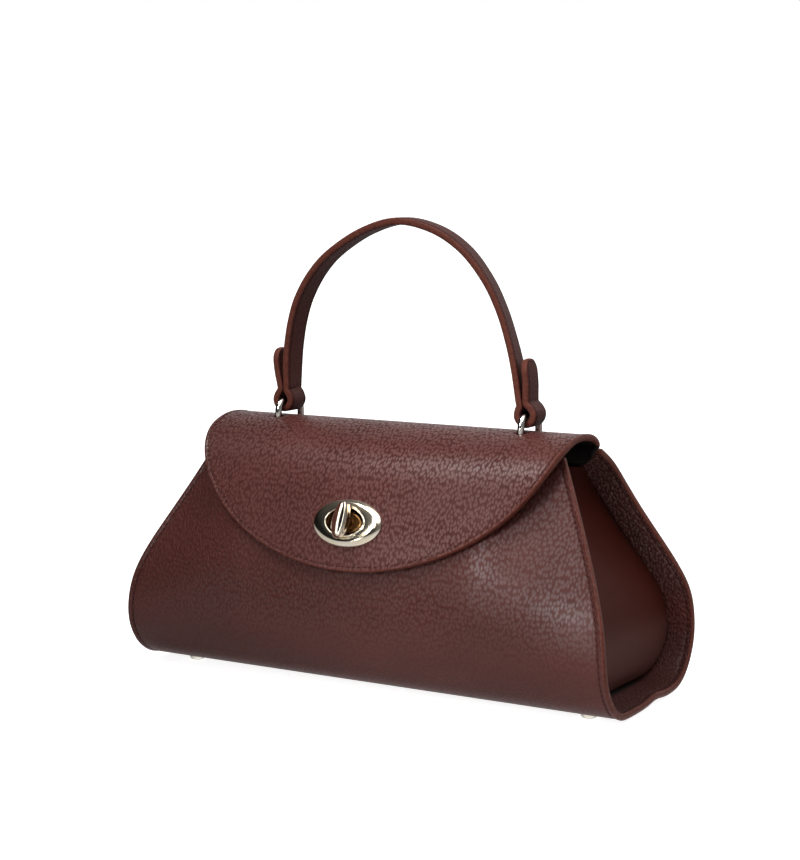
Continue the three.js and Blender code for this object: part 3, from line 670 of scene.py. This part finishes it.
def ringed(loop, distances, sign):  # copies of a closed line at distances from it, outwards or inwards
    ahead = np.roll(loop, -1, axis=0) - np.roll(loop, 1, axis=0)
    normal = unit(np.stack([ahead[:, 1], -ahead[:, 0]], axis=1))
    area = np.sum(loop[:, 0] * np.roll(loop[:, 1], -1) - loop[:, 1] * np.roll(loop[:, 0], -1))
    return [loop + normal * (distance * sign * np.sign(area)) for distance in distances]


def flapHoles():  # the eyelet's first, then two for each ring
    room = flapSettings["eyeletRoom"]
    holes = [ovalLoop((0, lockLength), lockShape["eyeletLong"] + room, lockShape["eyeletHigh"] + room,
                      flapSettings["eyeletSteps"])]
    for _, hand in hands:
        for end in (-1, 1):
            reach = end * (ringShape["halfWidth"] - flapSettings["ringHoleIn"])
            x = hand * ringShape["x"] - reach * math.sin(ringTurn(hand))
            length = flapLengthAtDepth(ringShape["y"] + reach * math.cos(ringTurn(hand)))
            holes.append(ovalLoop((x, length), *flapSettings["ringHole"], flapSettings["ringHoleSteps"]))
    return holes


def flapTriangles(outline, holes):  # the flap laid flat, with rows of points at its edges, a grid between
    clouds = [outline]
    for distance, copy in zip(flapEdgeSteps[1:], ringed(outline, flapEdgeSteps[1:], -1)):
        inside = inLoop(copy, outline)
        clouds.append(copy[inside & (toLoop(copy, outline) > distance - flapSettings["slack"])])
    for hole in holes:
        clouds += [hole] + ringed(hole, holeSteps, 1)
    step = flapSettings["gridStep"]
    rows = np.arange(0, flapLengths[-1], step * flapSettings["rowRatio"])
    columns = np.arange(1 - flapSettings["halfWidth"], flapSettings["halfWidth"], step)
    across, down = np.meshgrid(columns, rows)
    across = across + (np.arange(len(down)) % 2)[:, None] * step / 2
    grid = np.stack([across.ravel(), down.ravel()], axis=1)
    grid = grid[inLoop(grid, outline)]
    grid = grid[toLoop(grid, outline) > flapEdgeSteps[-1] + flapSettings["edgeRoom"]]
    for hole in holes:
        grid = grid[~inLoop(grid, hole)]
        grid = grid[toLoop(grid, hole) > holeSteps[-1] + flapSettings["holeRoom"]]
    clouds.append(grid)
    loops, start = [], 0
    for cloud in clouds:
        if any(cloud is loop for loop in [outline, *holes]):
            loops += [(start + i, start + (i + 1) % len(cloud)) for i in range(len(cloud))]
        start += len(cloud)
    flat = [tuple(point) for point in np.concatenate(clouds)]
    flat, _, triangles, *_ = delaunay_2d_cdt(flat, loops, [], 1, flapSettings["merged"], False)
    flat = np.array([tuple(point) for point in flat])
    triangles = np.array([tuple(face) for face in triangles])
    centres = flat[triangles].mean(axis=1)
    keep = inLoop(centres, outline)
    for hole in holes:
        keep &= ~inLoop(centres, hole)
    triangles = triangles[keep]
    a, b, c = (flat[triangles[:, i]] for i in range(3))
    turned = np.cross(b - a, c - a) < 0
    triangles[turned] = triangles[turned][:, ::-1]
    used = np.unique(triangles)
    renumber = np.zeros(len(flat), int)
    renumber[used] = np.arange(len(used))
    return flat[used], [tuple(int(i) for i in face) for face in renumber[triangles]]


def flapLeather():
    outline, holes = flapOutline(flapSettings["outlineStep"]), flapHoles()
    flat, faces = flapTriangles(outline, holes)
    x, length = flat.T
    toEdge = toLoop(flat, outline)
    toHoles = [toLoop(flat, hole) for hole in holes]
    toHole, toRingHole = np.min(toHoles, axis=0), np.min(toHoles[1:], axis=0)
    rim = toLoop(flat, outline[outline[:, 1] > flapSettings["hemLength"]], False)
    border = np.minimum(toEdge, toHole) < flapSettings["touching"]
    halfThick = np.where(toHole < toEdge, wall / 2 * rounding(toHole, flapSettings["holeRound"]),
                         roundedHalf(toEdge, cutEdge))
    halfThick[border] = 0
    dip = sewnDip(toEdge, flapSeam)
    dip = dip + flapSettings["holeDip"] * bump(0, flapSettings["holeDipWidth"], toRingHole)
    twoFaces = [flapPoint(x, length, wall / 2 - face * (halfThick - dip)) for face in (1, -1)]
    hide = np.stack([x, length + hidePlaces["flap"], 0 * x], axis=1)
    # The hem's outer face is as dark as the lining: painted shade where it lies under the back's top edge.
    hem = length < flapSettings["hemLength"]
    makeSheet("flapLeather", "flap", "grained_leather", flapGrain, twoFaces, border, faces, hide, rim,
              (hem * 1.0, 1), hidePlaces["flapInside"])


flapLeather()

strapSettings = {
    "width": 15.0, "thick": 3.9, "tail": 21.5, "tailParts": (1, 0.7, 0.35), "splay": 2.9, "leanRight": 13.0,
    "neck": 8.0, "neckGap": 0.35, "squeeze": 0.97, "squeezeAt": 5.7,
    "loopDegrees": (35, -5, -48, -90, -132, -175, 145),
    "rows": 430, "firstRow": 6.6, "flatness": 16, "corner": 2.2, "crown": 0.1, "tipRound": 1.4,
    "seamAt": 0.75, "seamWidth": 0.035, "seamDepth": 0.14, "rimLimit": 8,
}
# Arch of the handle: x, z and turn in degrees of the strap's centre line, from left to right
arch = [
    (-74.3, 172, -4), (-73.3, 184, -5), (-70.7, 198, -5), (-66, 211.5, -5), (-57.2, 225.5, -3),
    (-45, 237.3, -1), (-24.5, 249.2, 0), (-2.5, 254.9, 1), (19.6, 250.5, 4), (37.5, 239.7, 7),
    (51, 224, 10), (59.6, 208, 11), (65.2, 192.3, 10), (69.2, 177.5, 7),
]


def strapEnd(hand):  # from the free tip, round the ring, to the arch
    shape = strapSettings
    lean = math.radians(shape["leanRight"]) if hand > 0 else 0.0
    loopRadius = ringShape["wireRadius"] + ringShape["loopRoom"] + shape["thick"] / 2
    middle = ringShape["z"] + ringShape["halfHeight"] - ringShape["barRise"]
    beside = (shape["thick"] + shape["neckGap"]) / 2

    def place(out, up):
        return (hand * (ringShape["x"] + out * math.cos(lean) - up * math.sin(lean)),
                middle + up * math.cos(lean) + out * math.sin(lean), math.degrees(ringTurn(hand)))

    def neck(side):
        squeezed = place(side * beside * shape["squeeze"], shape["squeezeAt"])
        return [place(side * beside, shape["neck"]), squeezed]

    tail = [place(beside + shape["splay"] * part * (2 - part), shape["neck"] + shape["tail"] * part)
            for part in shape["tailParts"]]
    loop = [place(loopRadius * math.cos(angle), loopRadius * math.sin(angle))
            for angle in np.radians(shape["loopDegrees"])]
    return [*tail, *neck(1), *loop, *reversed(neck(-1))]


strapLine = [*strapEnd(-1), *arch, *reversed(strapEnd(1))]
strapDense = tableCurve(strapLine, np.linspace(0, len(strapLine) - 1, curveSamples))
strapRun = runAlong(strapDense[:, :2])
strapHalfFace = np.array([1.0, 0.994, 0.982, 0.965, 0.94, 0.91, 0.87, 0.83, 0.8, 0.775, 0.75, 0.725, 0.7,
                          0.66, 0.58, 0.45, 0.25, 0.0])
strapTipSteps = np.array([0.02, 0.1, 0.25, 0.5, 0.8, 1.2, 1.7, 2.3, 3.0, 3.8, 4.7, 5.7])


def strapPoint(run, side, lift):  # side from -1 to 1 over the width, lift in millimetres off the centre line
    def strapAt(where):
        return (np.interp(where, strapRun, column) for column in strapDense.T)

    step, halfWidth = 0.6, strapSettings["width"] / 2
    x, z, turn = strapAt(run)
    aheadX, aheadZ, _ = (after - before for after, before in zip(strapAt(run + step), strapAt(run - step)))
    size = np.hypot(aheadX, aheadZ)
    toTip = np.minimum(run, strapRun[-1] - run)
    reach = side * halfWidth * rounding(toTip, halfWidth)
    turn = np.radians(turn)
    return np.stack([x - aheadZ / size * lift - reach * np.sin(turn), ringShape["y"] + reach * np.cos(turn),
                     z + aheadX / size * lift], axis=-1)


def handleStrap():
    shape, face, total = strapSettings, strapHalfFace, strapRun[-1]
    between = np.linspace(shape["firstRow"], total - shape["firstRow"], shape["rows"])
    runs = np.concatenate([strapTipSteps, between, total - strapTipSteps[::-1]])
    sides = np.concatenate([face, -face[-2:0:-1], -face, face[-2:0:-1]])
    upper = np.repeat([1.0, -1.0], 2 * len(face) - 2)
    profile = (1 - np.abs(sides) ** shape["flatness"]) ** (1 / shape["corner"])
    seam = shape["seamDepth"] * bump(shape["seamAt"], shape["seamWidth"], np.abs(sides))
    lift = upper * (shape["thick"] / 2 * profile + shape["crown"] * (1 - sides ** 2) - seam)
    toTip = np.minimum(runs, total - runs)
    run = runs[:, None] + 0 * sides
    points = strapPoint(run, sides + 0 * run, lift * rounding(toTip, shape["tipRound"])[:, None])
    count, around = run.shape
    faces = gridFaces(count, around, closedRows=True, turned=True)
    faces += [tuple(range(around)), tuple(reversed(range((count - 1) * around, count * around)))]
    halfWidth = shape["width"] / 2
    rim = np.minimum(np.minimum((1 - np.abs(sides)) * halfWidth, shape["rimLimit"]), toTip[:, None])
    across = sides * halfWidth + upper * hidePlaces["strapFaces"]
    hide = np.stack([across + 0 * run, run + hidePlaces["strap"], 0 * run], axis=-1)
    makePiece("handleStrapLeather", "handle_strap", "smooth_leather", strapLeather, points, faces,
              {"hide": hide.reshape(-1, 3), "rim": rim.ravel()})


handleStrap()


def wireRing(name, node, hand):
    steps, around, radius = ringShape["steps"], ringShape["around"], ringShape["wireRadius"]
    angle = turnSteps(steps) + math.pi / steps
    power = 2 / ringShape["squareness"]
    path = np.stack([ringShape["halfWidth"] * signedPower(np.cos(angle), power),
                     ringShape["halfHeight"] * signedPower(np.sin(angle), power)], axis=1)
    for _ in range(ringShape["softenings"]):
        path = (np.roll(path, 1, axis=0) + 2 * path + np.roll(path, -1, axis=0)) / 4
    ahead = unit(np.roll(path, -1, axis=0) - np.roll(path, 1, axis=0))
    turn, lean = turnSteps(around), ringTurn(hand)
    out = radius * np.cos(turn)
    aside = radius * np.sin(turn)
    across = path[:, :1] + ahead[:, 1:] * out
    up = path[:, 1:] - ahead[:, :1] * out
    points = np.stack([hand * ringShape["x"] + aside * math.cos(lean) - across * math.sin(lean),
                       ringShape["y"] + aside * math.sin(lean) + across * math.cos(lean),
                       ringShape["z"] + up], axis=-1)
    makePiece(name, node, "pale_gold_metal", ringMetal, points,
              gridFaces(steps, around, closedColumns=True, closedRows=True, turned=True))


tabShape = {"halfLength": 16.0, "halfWidth": 7.0, "dip": 8.0, "flatEnd": 2.0, "thick": 2.0, "edgeRound": 1.0,
            "gap": 0.35, "columns": 41, "rows": 17}


def ringTab(name, node, hand):
    shape = tabShape
    v, u = np.meshgrid(np.linspace(-1, 1, shape["rows"]), np.linspace(-1, 1, shape["columns"]))
    x, y = u * shape["halfLength"], ringShape["y"] + v * shape["halfWidth"]
    seatLengths = np.array([flapLengthAtDepth(depth) for depth in y[0]])
    seated = flapPoint(0, seatLengths, wall + shape["gap"])
    under = ringShape["z"] - ringShape["halfHeight"] - ringShape["wireRadius"] - shape["gap"]
    rise = smoothRamp(shape["dip"] / 2, shape["halfLength"] - shape["flatEnd"], np.abs(x))
    top = np.stack([hand * ringShape["x"] + x, seated[:, 1] + 0 * x,
                    under + (seated[:, 2] - under) * rise], axis=-1)
    toRim = np.minimum((1 - np.abs(u)) * shape["halfLength"], (1 - np.abs(v)) * shape["halfWidth"])
    halfThick = shape["thick"] / 2 * rounding(toRim, shape["edgeRound"])
    upper, lower = top.copy(), top.copy()
    upper[..., 2] += halfThick - shape["thick"] / 2
    lower[..., 2] -= halfThick + shape["thick"] / 2
    hide = np.stack([x + hidePlaces["tab"], y, 0 * x], axis=-1)
    makeSheet(name, node, "smooth_leather", strapLeather, [upper, lower], toRim <= 0, gridFaces(*u.shape),
              hide, toRim)


for side, hand in hands:
    wireRing("ring" + side.capitalize(), "ring_" + side, hand)
    ringTab("ringTab" + side.capitalize(), "ring_tab_" + side, hand)

# The lock's own frame on the flap: its middle, its up direction and its outward direction
lockMiddle = flapPoint(0, lockLength, 0)
lockUp = np.array([0, lockShape["leanSine"], lockShape["leanCosine"]])
lockOut = np.array([0, -lockShape["leanCosine"], lockShape["leanSine"]])

# Section of the plate from the eyelet to its outer edge: part of the way out, height in millimetres
plateSection = [
    (0.0, 0.45), (0.0, 2.6), (0.005, 3.3), (0.025, 3.7), (0.055, 3.82), (0.085, 3.68), (0.105, 3.42),
    (0.14, 3.34), (0.3, 3.3), (0.55, 3.02), (0.7, 2.62), (0.82, 2.1), (0.91, 1.5), (0.965, 0.95),
    (0.99, 0.62), (1.0, 0.45),
]


def ontoLock(points):
    points = np.asarray(points, float)
    return lockMiddle + points[..., :1] * [1, 0, 0] + points[..., 1:2] * lockUp + points[..., 2:] * lockOut


def pointedOval(long, high, angle):
    rise = signedPower(np.sin(angle), 1 + lockShape["pointed"])
    return np.stack([long * np.cos(angle), high * rise], axis=-1)


def lockPlate():
    steps = lockShape["steps"]
    rows = tableCurve(plateSection, np.linspace(0, len(plateSection) - 1, lockShape["rows"]))
    angle = turnSteps(steps)[:, None]
    inner = pointedOval(lockShape["eyeletLong"], lockShape["eyeletHigh"], angle)
    outer = np.stack([lockShape["plateLong"] * np.cos(angle),
                      lockShape["plateHigh"] * np.sin(angle)], axis=-1)
    flat = inner + (outer - inner) * np.clip(rows[:, 0], 0, 1)[None, :, None]
    points = np.concatenate([flat, (rows[:, 1] + 0 * angle)[..., None]], axis=-1)
    makePiece("lockPlateMetal", "lock_plate", "pale_gold_metal", paleGold, ontoLock(points),
              gridFaces(steps, len(rows), closedColumns=True, closedRows=True, turned=True))


def withHeight(loop, height):
    return np.concatenate([loop, np.full((len(loop), 1), height)], axis=1)


def stacked(rings):  # closed solid from a stack of loops of one size, capped at both ends
    count, last = len(rings[0]), (len(rings) - 1) * len(rings[0])
    middles = [rings[0].mean(axis=0), rings[-1].mean(axis=0)]
    low, high = last + count, last + count + 1
    faces = gridFaces(len(rings), count, closedRows=True, turned=True)
    faces += [(low, (i + 1) % count, i) for i in range(count)]
    faces += [(high, last + i, last + (i + 1) % count) for i in range(count)]
    return np.concatenate([*rings, middles]), faces


roundSteps = 48


def turnedSolid(steps, middle=(0, 0)):  # radius and height of each ring
    rings = [withHeight(ovalLoop(middle, radius, radius, roundSteps), height) for radius, height in steps]
    return stacked(rings)


def together(first, second):
    (points, faces), (morePoints, moreFaces) = first, second
    faces = faces + [tuple(i + len(points) for i in face) for face in moreFaces]
    return np.concatenate([points, morePoints]), faces


baseShape = {"bossLong": 9.8, "bossHigh": 6.0, "bossTaper": 0.72, "flangeLong": 15, "flangeHigh": 9.6,
             "steps": 96}
# How far each ring is drawn in, and its height
bossSteps = [(0.0, -3.6), (0.0, 0.9), (0.12, 1.4), (0.5, 1.72), (0.9, 1.8), (1.7, 1.8), (1.95, 1.72),
             (2.1, 1.45), (2.5, 1.25), (3.4, 1.2)]
flangeSteps = [(0.5, -5.2), (0.12, -5.05), (0.0, -4.8), (0.0, -4.0), (0.12, -3.75), (0.5, -3.6)]


def lockBase():
    shape, angle = baseShape, turnSteps(baseShape["steps"])
    boss = [withHeight(pointedOval(shape["bossLong"] - inset, shape["bossHigh"] - inset * shape["bossTaper"],
                                   angle), height) for inset, height in bossSteps]
    flange = [withHeight(ovalLoop((0, 0), shape["flangeLong"] - inset, shape["flangeHigh"] - inset,
                                  shape["steps"]), height) for inset, height in flangeSteps]
    points, faces = together(stacked(boss), stacked(flange))
    makePiece("lockBaseMetal", "lock_base", "pale_gold_metal", bossGold, ontoLock(points), faces)


knobShape = {"halfLength": 10.0, "halfWidth": 5.4, "lift": 5.2, "endNarrowing": 0.25, "sidePower": 0.6,
             "tipPower": 0.85, "baseShift": -0.5, "ridgeShift": 2.1, "shiftRise": (1.1, 5.4), "steps": 120}
# Rise of the knob: how far it is drawn in across and along, and the height above its lower side
knobSteps = [
    (1.6, 1.2, 0.0), (0.8, 0.6, 0.12), (0.3, 0.22, 0.4), (0.05, 0.05, 0.8), (0.0, 0.0, 1.15),
    (0.3, 0.06, 1.75), (0.78, 0.16, 2.5), (1.4, 0.3, 3.4), (2.02, 0.46, 4.25), (2.58, 0.66, 4.95),
    (3.05, 0.88, 5.4), (3.4, 1.1, 5.66), (3.65, 1.3, 5.78), (3.9, 1.52, 5.78), (4.2, 1.85, 5.66),
    (4.55, 2.3, 5.5), (4.9, 2.8, 5.42),
]
neckSteps = [(3.0, 2.15), (3.2, 2.3), (3.2, 4.2), (3.05, 4.8), (2.8, 5.4), (2.8, 7.5)]  # radius and height


def turnKnob():  # a lens-like bar on a round neck, upright when the lock is shut
    shape = knobShape
    angle = turnSteps(shape["steps"]) + math.pi / shape["steps"]
    side, tip = np.cos(angle), np.sin(angle)
    narrowed = 1 - shape["endNarrowing"] * tip ** 2
    rings = []
    for across, along, height in knobSteps:
        shift = shape["baseShift"] + shape["ridgeShift"] * smoothRamp(*shape["shiftRise"], height)
        x = (shape["halfWidth"] - across) * signedPower(side, shape["sidePower"]) * narrowed + shift
        y = (shape["halfLength"] - along) * signedPower(tip, shape["tipPower"])
        rings.append(withHeight(np.stack([x, y], axis=1), shape["lift"] + height))
    points, faces = together(stacked(rings), turnedSolid(neckSteps))
    makePiece("turnKnobMetal", "turn_knob", "pale_gold_metal", paleGold, ontoLock(points), faces,
              body="turn_knob")


lockPlate()
lockBase()
turnKnob()

footShape = {"x": 125.0, "frontY": -20.0, "backY": 33.0}
footProfile = [(2.8, 0.0), (3.3, 0.05), (3.8, 0.25), (4.15, 0.55), (4.35, 0.95), (4.4, 1.5), (4.45, 1.75),
               (4.75, 1.85), (4.8, 2.0), (4.8, 2.85)]  # radius and height
for side, hand in hands:
    for end, y in (("front", footShape["frontY"]), ("back", footShape["backY"])):
        makePiece("foot" + end.capitalize() + side.capitalize(), f"foot_{end}_{side}", "pale_gold_metal",
                  studMetal, *turnedSolid(footProfile, (hand * footShape["x"], y)))


def stitchTree():
    tree = bpy.data.node_groups.new("stitchRow", "GeometryNodeTree")
    kinds = {"Geometry": "Geometry", "Pitch": "Float", "Length": "Float", "Width": "Float",
             "Height": "Float", "Slant": "Float", "Seed": "Int", "Thread": "Material"}
    for name, kind in kinds.items():
        tree.interface.new_socket(name, in_out="INPUT", socket_type="NodeSocket" + kind)
    tree.interface.new_socket("Geometry", in_out="OUTPUT", socket_type="NodeSocketGeometry")
    wires = Wire(tree)
    start = wires.add("NodeGroupInput")
    given = {name: start.output(name) for name in kinds}
    curve = wires.add("GeometryNodeMeshToCurve", None, {0: given["Geometry"]})
    evenly = wires.add("GeometryNodeResampleCurve", {"mode": "LENGTH"},
                       {"Curve": curve, "Length": given["Pitch"]})
    ball = wires.add("GeometryNodeMeshUVSphere", None, {"Segments": 8, "Rings": 5, "Radius": 0.5})
    size = wires.add("ShaderNodeCombineXYZ", None,
                     {"X": given["Length"], "Y": given["Width"], "Z": given["Height"]})
    stitch = wires.add("GeometryNodeTransform", None, {"Geometry": ball, "Scale": size})
    out = wires.add("GeometryNodeInputNamedAttribute", {"data_type": "FLOAT_VECTOR"}, {"Name": "out"})
    upright = wires.add("FunctionNodeAlignRotationToVector", {"axis": "Z"}, {"Vector": out})
    along = wires.add("FunctionNodeAlignRotationToVector", {"axis": "X", "pivot_axis": "Z"},
                      {"Rotation": upright, "Vector": wires.add("GeometryNodeInputTangent")})
    chance = wires.add("FunctionNodeRandomValue", {"data_type": "FLOAT"},
                       {2: -stitchWobble, 3: stitchWobble, "Seed": given["Seed"]}, 1)
    axis = wires.add("ShaderNodeCombineXYZ", None, {"Z": given["Slant"] + chance})
    tilt = wires.add("FunctionNodeEulerToRotation", None, {0: axis})
    turned = wires.add("FunctionNodeRotateRotation", {"rotation_space": "LOCAL"},
                       {"Rotation": along, "Rotate By": tilt})
    placed = wires.add("GeometryNodeInstanceOnPoints", None,
                       {"Points": evenly, "Instance": stitch, "Rotation": turned})
    real = wires.add("GeometryNodeRealizeInstances", None, {0: placed})
    smooth = wires.add("GeometryNodeSetShadeSmooth", None, {0: real})
    dyed = wires.add("GeometryNodeSetMaterial", None, {"Geometry": smooth, "Material": given["Thread"]})
    wires.feed(tree.nodes.new("NodeGroupOutput"), {0: dyed})
    return tree


# Stitch sizes in millimetres, slant and wobble in radians
stitchSettings = {"Pitch": 3.3, "Length": 2.5, "Width": 0.62, "Height": 0.5, "Slant": 0.16, "Seed": 7}
strapStitches = dict(stitchSettings, Pitch=2.9, Length=2.2, Width=0.5, Height=0.4, Seed=11)
stitchWobble = 0.09
stitchRow = stitchTree()


def stitches(name, lines, settings):  # lines: pairs of points and outward directions along each seam
    edges, first = [], 0
    for line, _ in lines:
        edges += [(first + i, first + i + 1) for i in range(len(line) - 1)]
        first += len(line)
    mesh = bpy.data.meshes.new(name + "Line")
    mesh.from_pydata(inMetres(np.concatenate([line for line, _ in lines])), edges, [])
    setAttribute(mesh, "out", np.concatenate([out for _, out in lines]))
    seam = linked(name + "Line", mesh)
    rows = seam.modifiers.new("stitchRow", "NODES")
    rows.node_group = stitchRow
    values = {key: value * mm if key in ("Pitch", "Length", "Width", "Height") else value
              for key, value in settings.items()}
    values["Thread"] = thread
    for item in stitchRow.interface.items_tree:
        if item.in_out == "INPUT" and item.name in values:
            rows[item.identifier] = values[item.name]
    seen = seam.evaluated_get(bpy.context.evaluated_depsgraph_get())
    sewn = bpy.data.meshes.new_from_object(seen)
    sewn.name = name
    seam.modifiers.remove(rows)
    bpy.data.objects.remove(seam)
    handOver(name, None, sewn)


def outwardOf(pointAt):  # a line on a surface and its outward directions, from its points at a depth
    line = pointAt(0.0)
    return line, unit(line - pointAt(1.0))


# Seams: where each row of stitches starts and ends, how many points its line has, and how far it stands up
seamSettings = {
    "wrapEnd": 0.25, "wrapPoints": 420, "wrapProud": 0.05,
    "flapStep": 1.0, "flapEnd": 2.0, "flapFlare": 0.35, "nearness": 0.05,
    "neckRows": (3, 13, -14, -4), "neckReach": 0.72, "neckPoints": 30,
    "strapEnd": 6.5, "strapPoints": 700, "strapSunk": 0.1,
}


def wrapSeams():
    t = np.linspace(seamSettings["wrapEnd"], lastRow - seamSettings["wrapEnd"], seamSettings["wrapPoints"])
    deep = cutEdge["seamDepth"] - seamSettings["wrapProud"] + 0 * t
    lines = []
    for _, hand in hands:
        x = hand * (wrapHalf(t) - cutEdge["seamAt"])
        lines.append(outwardOf(lambda sunk: wrapPoint(x, t, deep + sunk)))
        lines.append(outwardOf(lambda sunk: wrapPoint(x, t, wall - deep - sunk)))
    return lines


def flapSeams():
    outline = flapOutline(seamSettings["flapStep"])
    inset = ringed(outline, [flapSeam["seamAt"]], -1)[0]
    near = toLoop(inset, outline) > flapSeam["seamAt"] - seamSettings["nearness"]
    x, length = inset[near & (inset[:, 1] > flapSettings["hemLength"] + seamSettings["flapEnd"])].T
    deep = flapSeam["seamDepth"] - cutEdge["flare"] * seamSettings["flapFlare"]
    return [outwardOf(lambda sunk: flapPoint(x, length, deep + sunk))]


def strapSeams():
    lines, half = [], strapSettings["thick"] / 2
    across = np.linspace(-seamSettings["neckReach"], seamSettings["neckReach"], seamSettings["neckPoints"])
    for row in seamSettings["neckRows"]:
        part = (row % len(strapLine)) / (len(strapLine) - 1)
        neck = strapRun[round(part * (len(strapRun) - 1))] + 0 * across
        lines.append(outwardOf(lambda sunk: strapPoint(neck, across, sunk - half)))
    run = np.linspace(seamSettings["strapEnd"], strapRun[-1] - seamSettings["strapEnd"],
                      seamSettings["strapPoints"])
    top = half - seamSettings["strapSunk"]
    for up in (1, -1):
        for side in (-strapSettings["seamAt"], strapSettings["seamAt"]):
            lines.append(outwardOf(lambda sunk: strapPoint(run, side, up * (top - sunk))))
    return lines


stitches("wrapStitches", wrapSeams(), stitchSettings)
stitches("flapStitches", flapSeams(), stitchSettings)
stitches("strapStitches", strapSeams(), strapStitches)

floorLook = {"halfSize": 30, "dark": (0.58, 0.58, 0.58, 1), "light": (0.6, 0.6, 0.6, 1), "cloudScale": 3,
             "roughness": 0.8, "glow": (0, 0, 0, 1), "glowFull": (1, 1, 1, 1),
             "glowFar": (0.25, 0.7), "glowNear": 0.9, "mirrored": (0.004, 0.02)}


def floorMaterial(look):  # white to the camera and in reflections very near it, and grey to all other light
    material, wires, shader = newMaterial("paleFloor")
    place = wires.add("ShaderNodeTexCoord", out=3)
    cloud = wires.noise(place, look["cloudScale"], 3).ramp(*noiseSpan)
    away = wires.add("ShaderNodeVectorMath", {"operation": "LENGTH"}, {0: place}, 1)
    far = away.ramp(*look["glowFar"], look["glowNear"], 1.0)
    rays = wires.add("ShaderNodeLightPath")
    direct, glossy, run = (rays.output(name) for name in ("Is Camera Ray", "Is Glossy Ray", "Ray Length"))
    seen = direct + glossy * run.ramp(*look["mirrored"], 1.0, 0.0)
    wires.feed(shader, {
        "Base Color": cloud.mixed(look["dark"], look["light"]), "Roughness": look["roughness"],
        "Specular IOR Level": 0.0, "Emission Strength": 1.0,
        "Emission Color": (far * seen).mixed(look["glow"], look["glowFull"])})
    return material


half = floorLook["halfSize"]
corners = [(-half, -half, 0), (half, -half, 0), (half, half, 0), (-half, half, 0)]
floorMesh = bpy.data.meshes.new("floor")
floorMesh.from_pydata(corners, [], [(0, 1, 2, 3)])
floorMesh.materials.append(floorMaterial(floorLook))
floor = linked("floor", floorMesh)


def placeLamp(name, kind, light):
    lamp = linked(name, bpy.data.lights.new(name, kind))
    lamp.data.energy = light["power"]
    lamp.location = light["place"]
    lamp.rotation_euler = (Vector(light["aim"]) - lamp.location).to_track_quat("-Z", "Y").to_euler()
    return lamp.data


bagMiddle = (0, 0, 0.08)
areaSettings = {
    "frontRight": {"place": (0.1, -0.95, 0.75), "aim": bagMiddle, "size": (0.5, 0.45), "power": 1.6},
    "topSoft": {"place": (0.25, -0.45, 1.15), "aim": bagMiddle, "size": (0.8, 0.9), "power": 4},
    "backRim": {"place": (0.6, 1.5, 0.9), "aim": bagMiddle, "size": (1.0, 0.8), "power": 2.5},
}
for name, light in areaSettings.items():
    area = placeLamp(name, "AREA", light)
    area.shape = "RECTANGLE"
    area.size, area.size_y = light["size"]

spotSettings = {
    "panelSpot": {"place": (-0.1, -1.0, 0.53), "aim": (0.07, -0.05, 0.09), "coneDegrees": 17, "radius": 0.19,
                  "power": 50},
    "lowSpot": {"place": (-0.14, -1.0, 0.1), "aim": (0.135, -0.05, 0.05), "coneDegrees": 8, "radius": 0.14,
                "power": 34},
    "endSpot": {"place": (0.69, -0.75, 0.2), "aim": (0.155, 0.03, 0.09), "coneDegrees": 7, "radius": 0.12,
                "power": 9},
    "flapSpot": {"place": (-0.25, -0.42, 1.1), "aim": (0.05, -0.02, 0.13), "coneDegrees": 22, "radius": 0.2,
                 "power": 44},
}
for name, light in spotSettings.items():
    spot = placeLamp(name, "SPOT", light)
    spot.spot_size, spot.spot_blend = math.radians(light["coneDegrees"]), 1.0
    spot.shadow_soft_size = light["radius"]

skySettings = {"power": 1.2, "softness": 64.0, "tiltDegrees": (8, 20, 0)}
sky = linked("sky", bpy.data.lights.new("sky", "SUN"))
sky.data.energy = skySettings["power"]
sky.data.angle = math.radians(skySettings["softness"])
sky.rotation_euler = [math.radians(angle) for angle in skySettings["tiltDegrees"]]

# The room glows from behind, a little from the right and from above, and is white to the camera.
roomGlow = {"behind": (0.2, 0.9, 0.0, 0.85), "right": (0.1, 0.9, 0.0, 0.15),
            "above": (0.3, 1.0, 0.012, 0.25), "aboveLeft": (-0.7, 0.0, 0.45, 1.0)}
studio = bpy.data.worlds.new("studio")
studio.use_nodes = True
room = Wire(studio.node_tree)
way = room.add("ShaderNodeTexCoord", out=0)
wayX, wayY, wayZ = (room.add("ShaderNodeSeparateXYZ", None, {0: way}, axis) for axis in range(3))
glow = wayY.ramp(*roomGlow["behind"]) + wayX.ramp(*roomGlow["right"])
glow = glow + wayZ.ramp(*roomGlow["above"]) * wayX.ramp(*roomGlow["aboveLeft"])
seen = room.add("ShaderNodeLightPath", out=0)
backdrop = studio.node_tree.nodes["Background"]
room.feed(backdrop, {"Color": (1, 1, 1, 1), "Strength": glow * (1 - seen) + seen})
bpy.context.scene.world = studio
bpy.context.scene.view_settings.view_transform = "Standard"
print("floor and light placed")
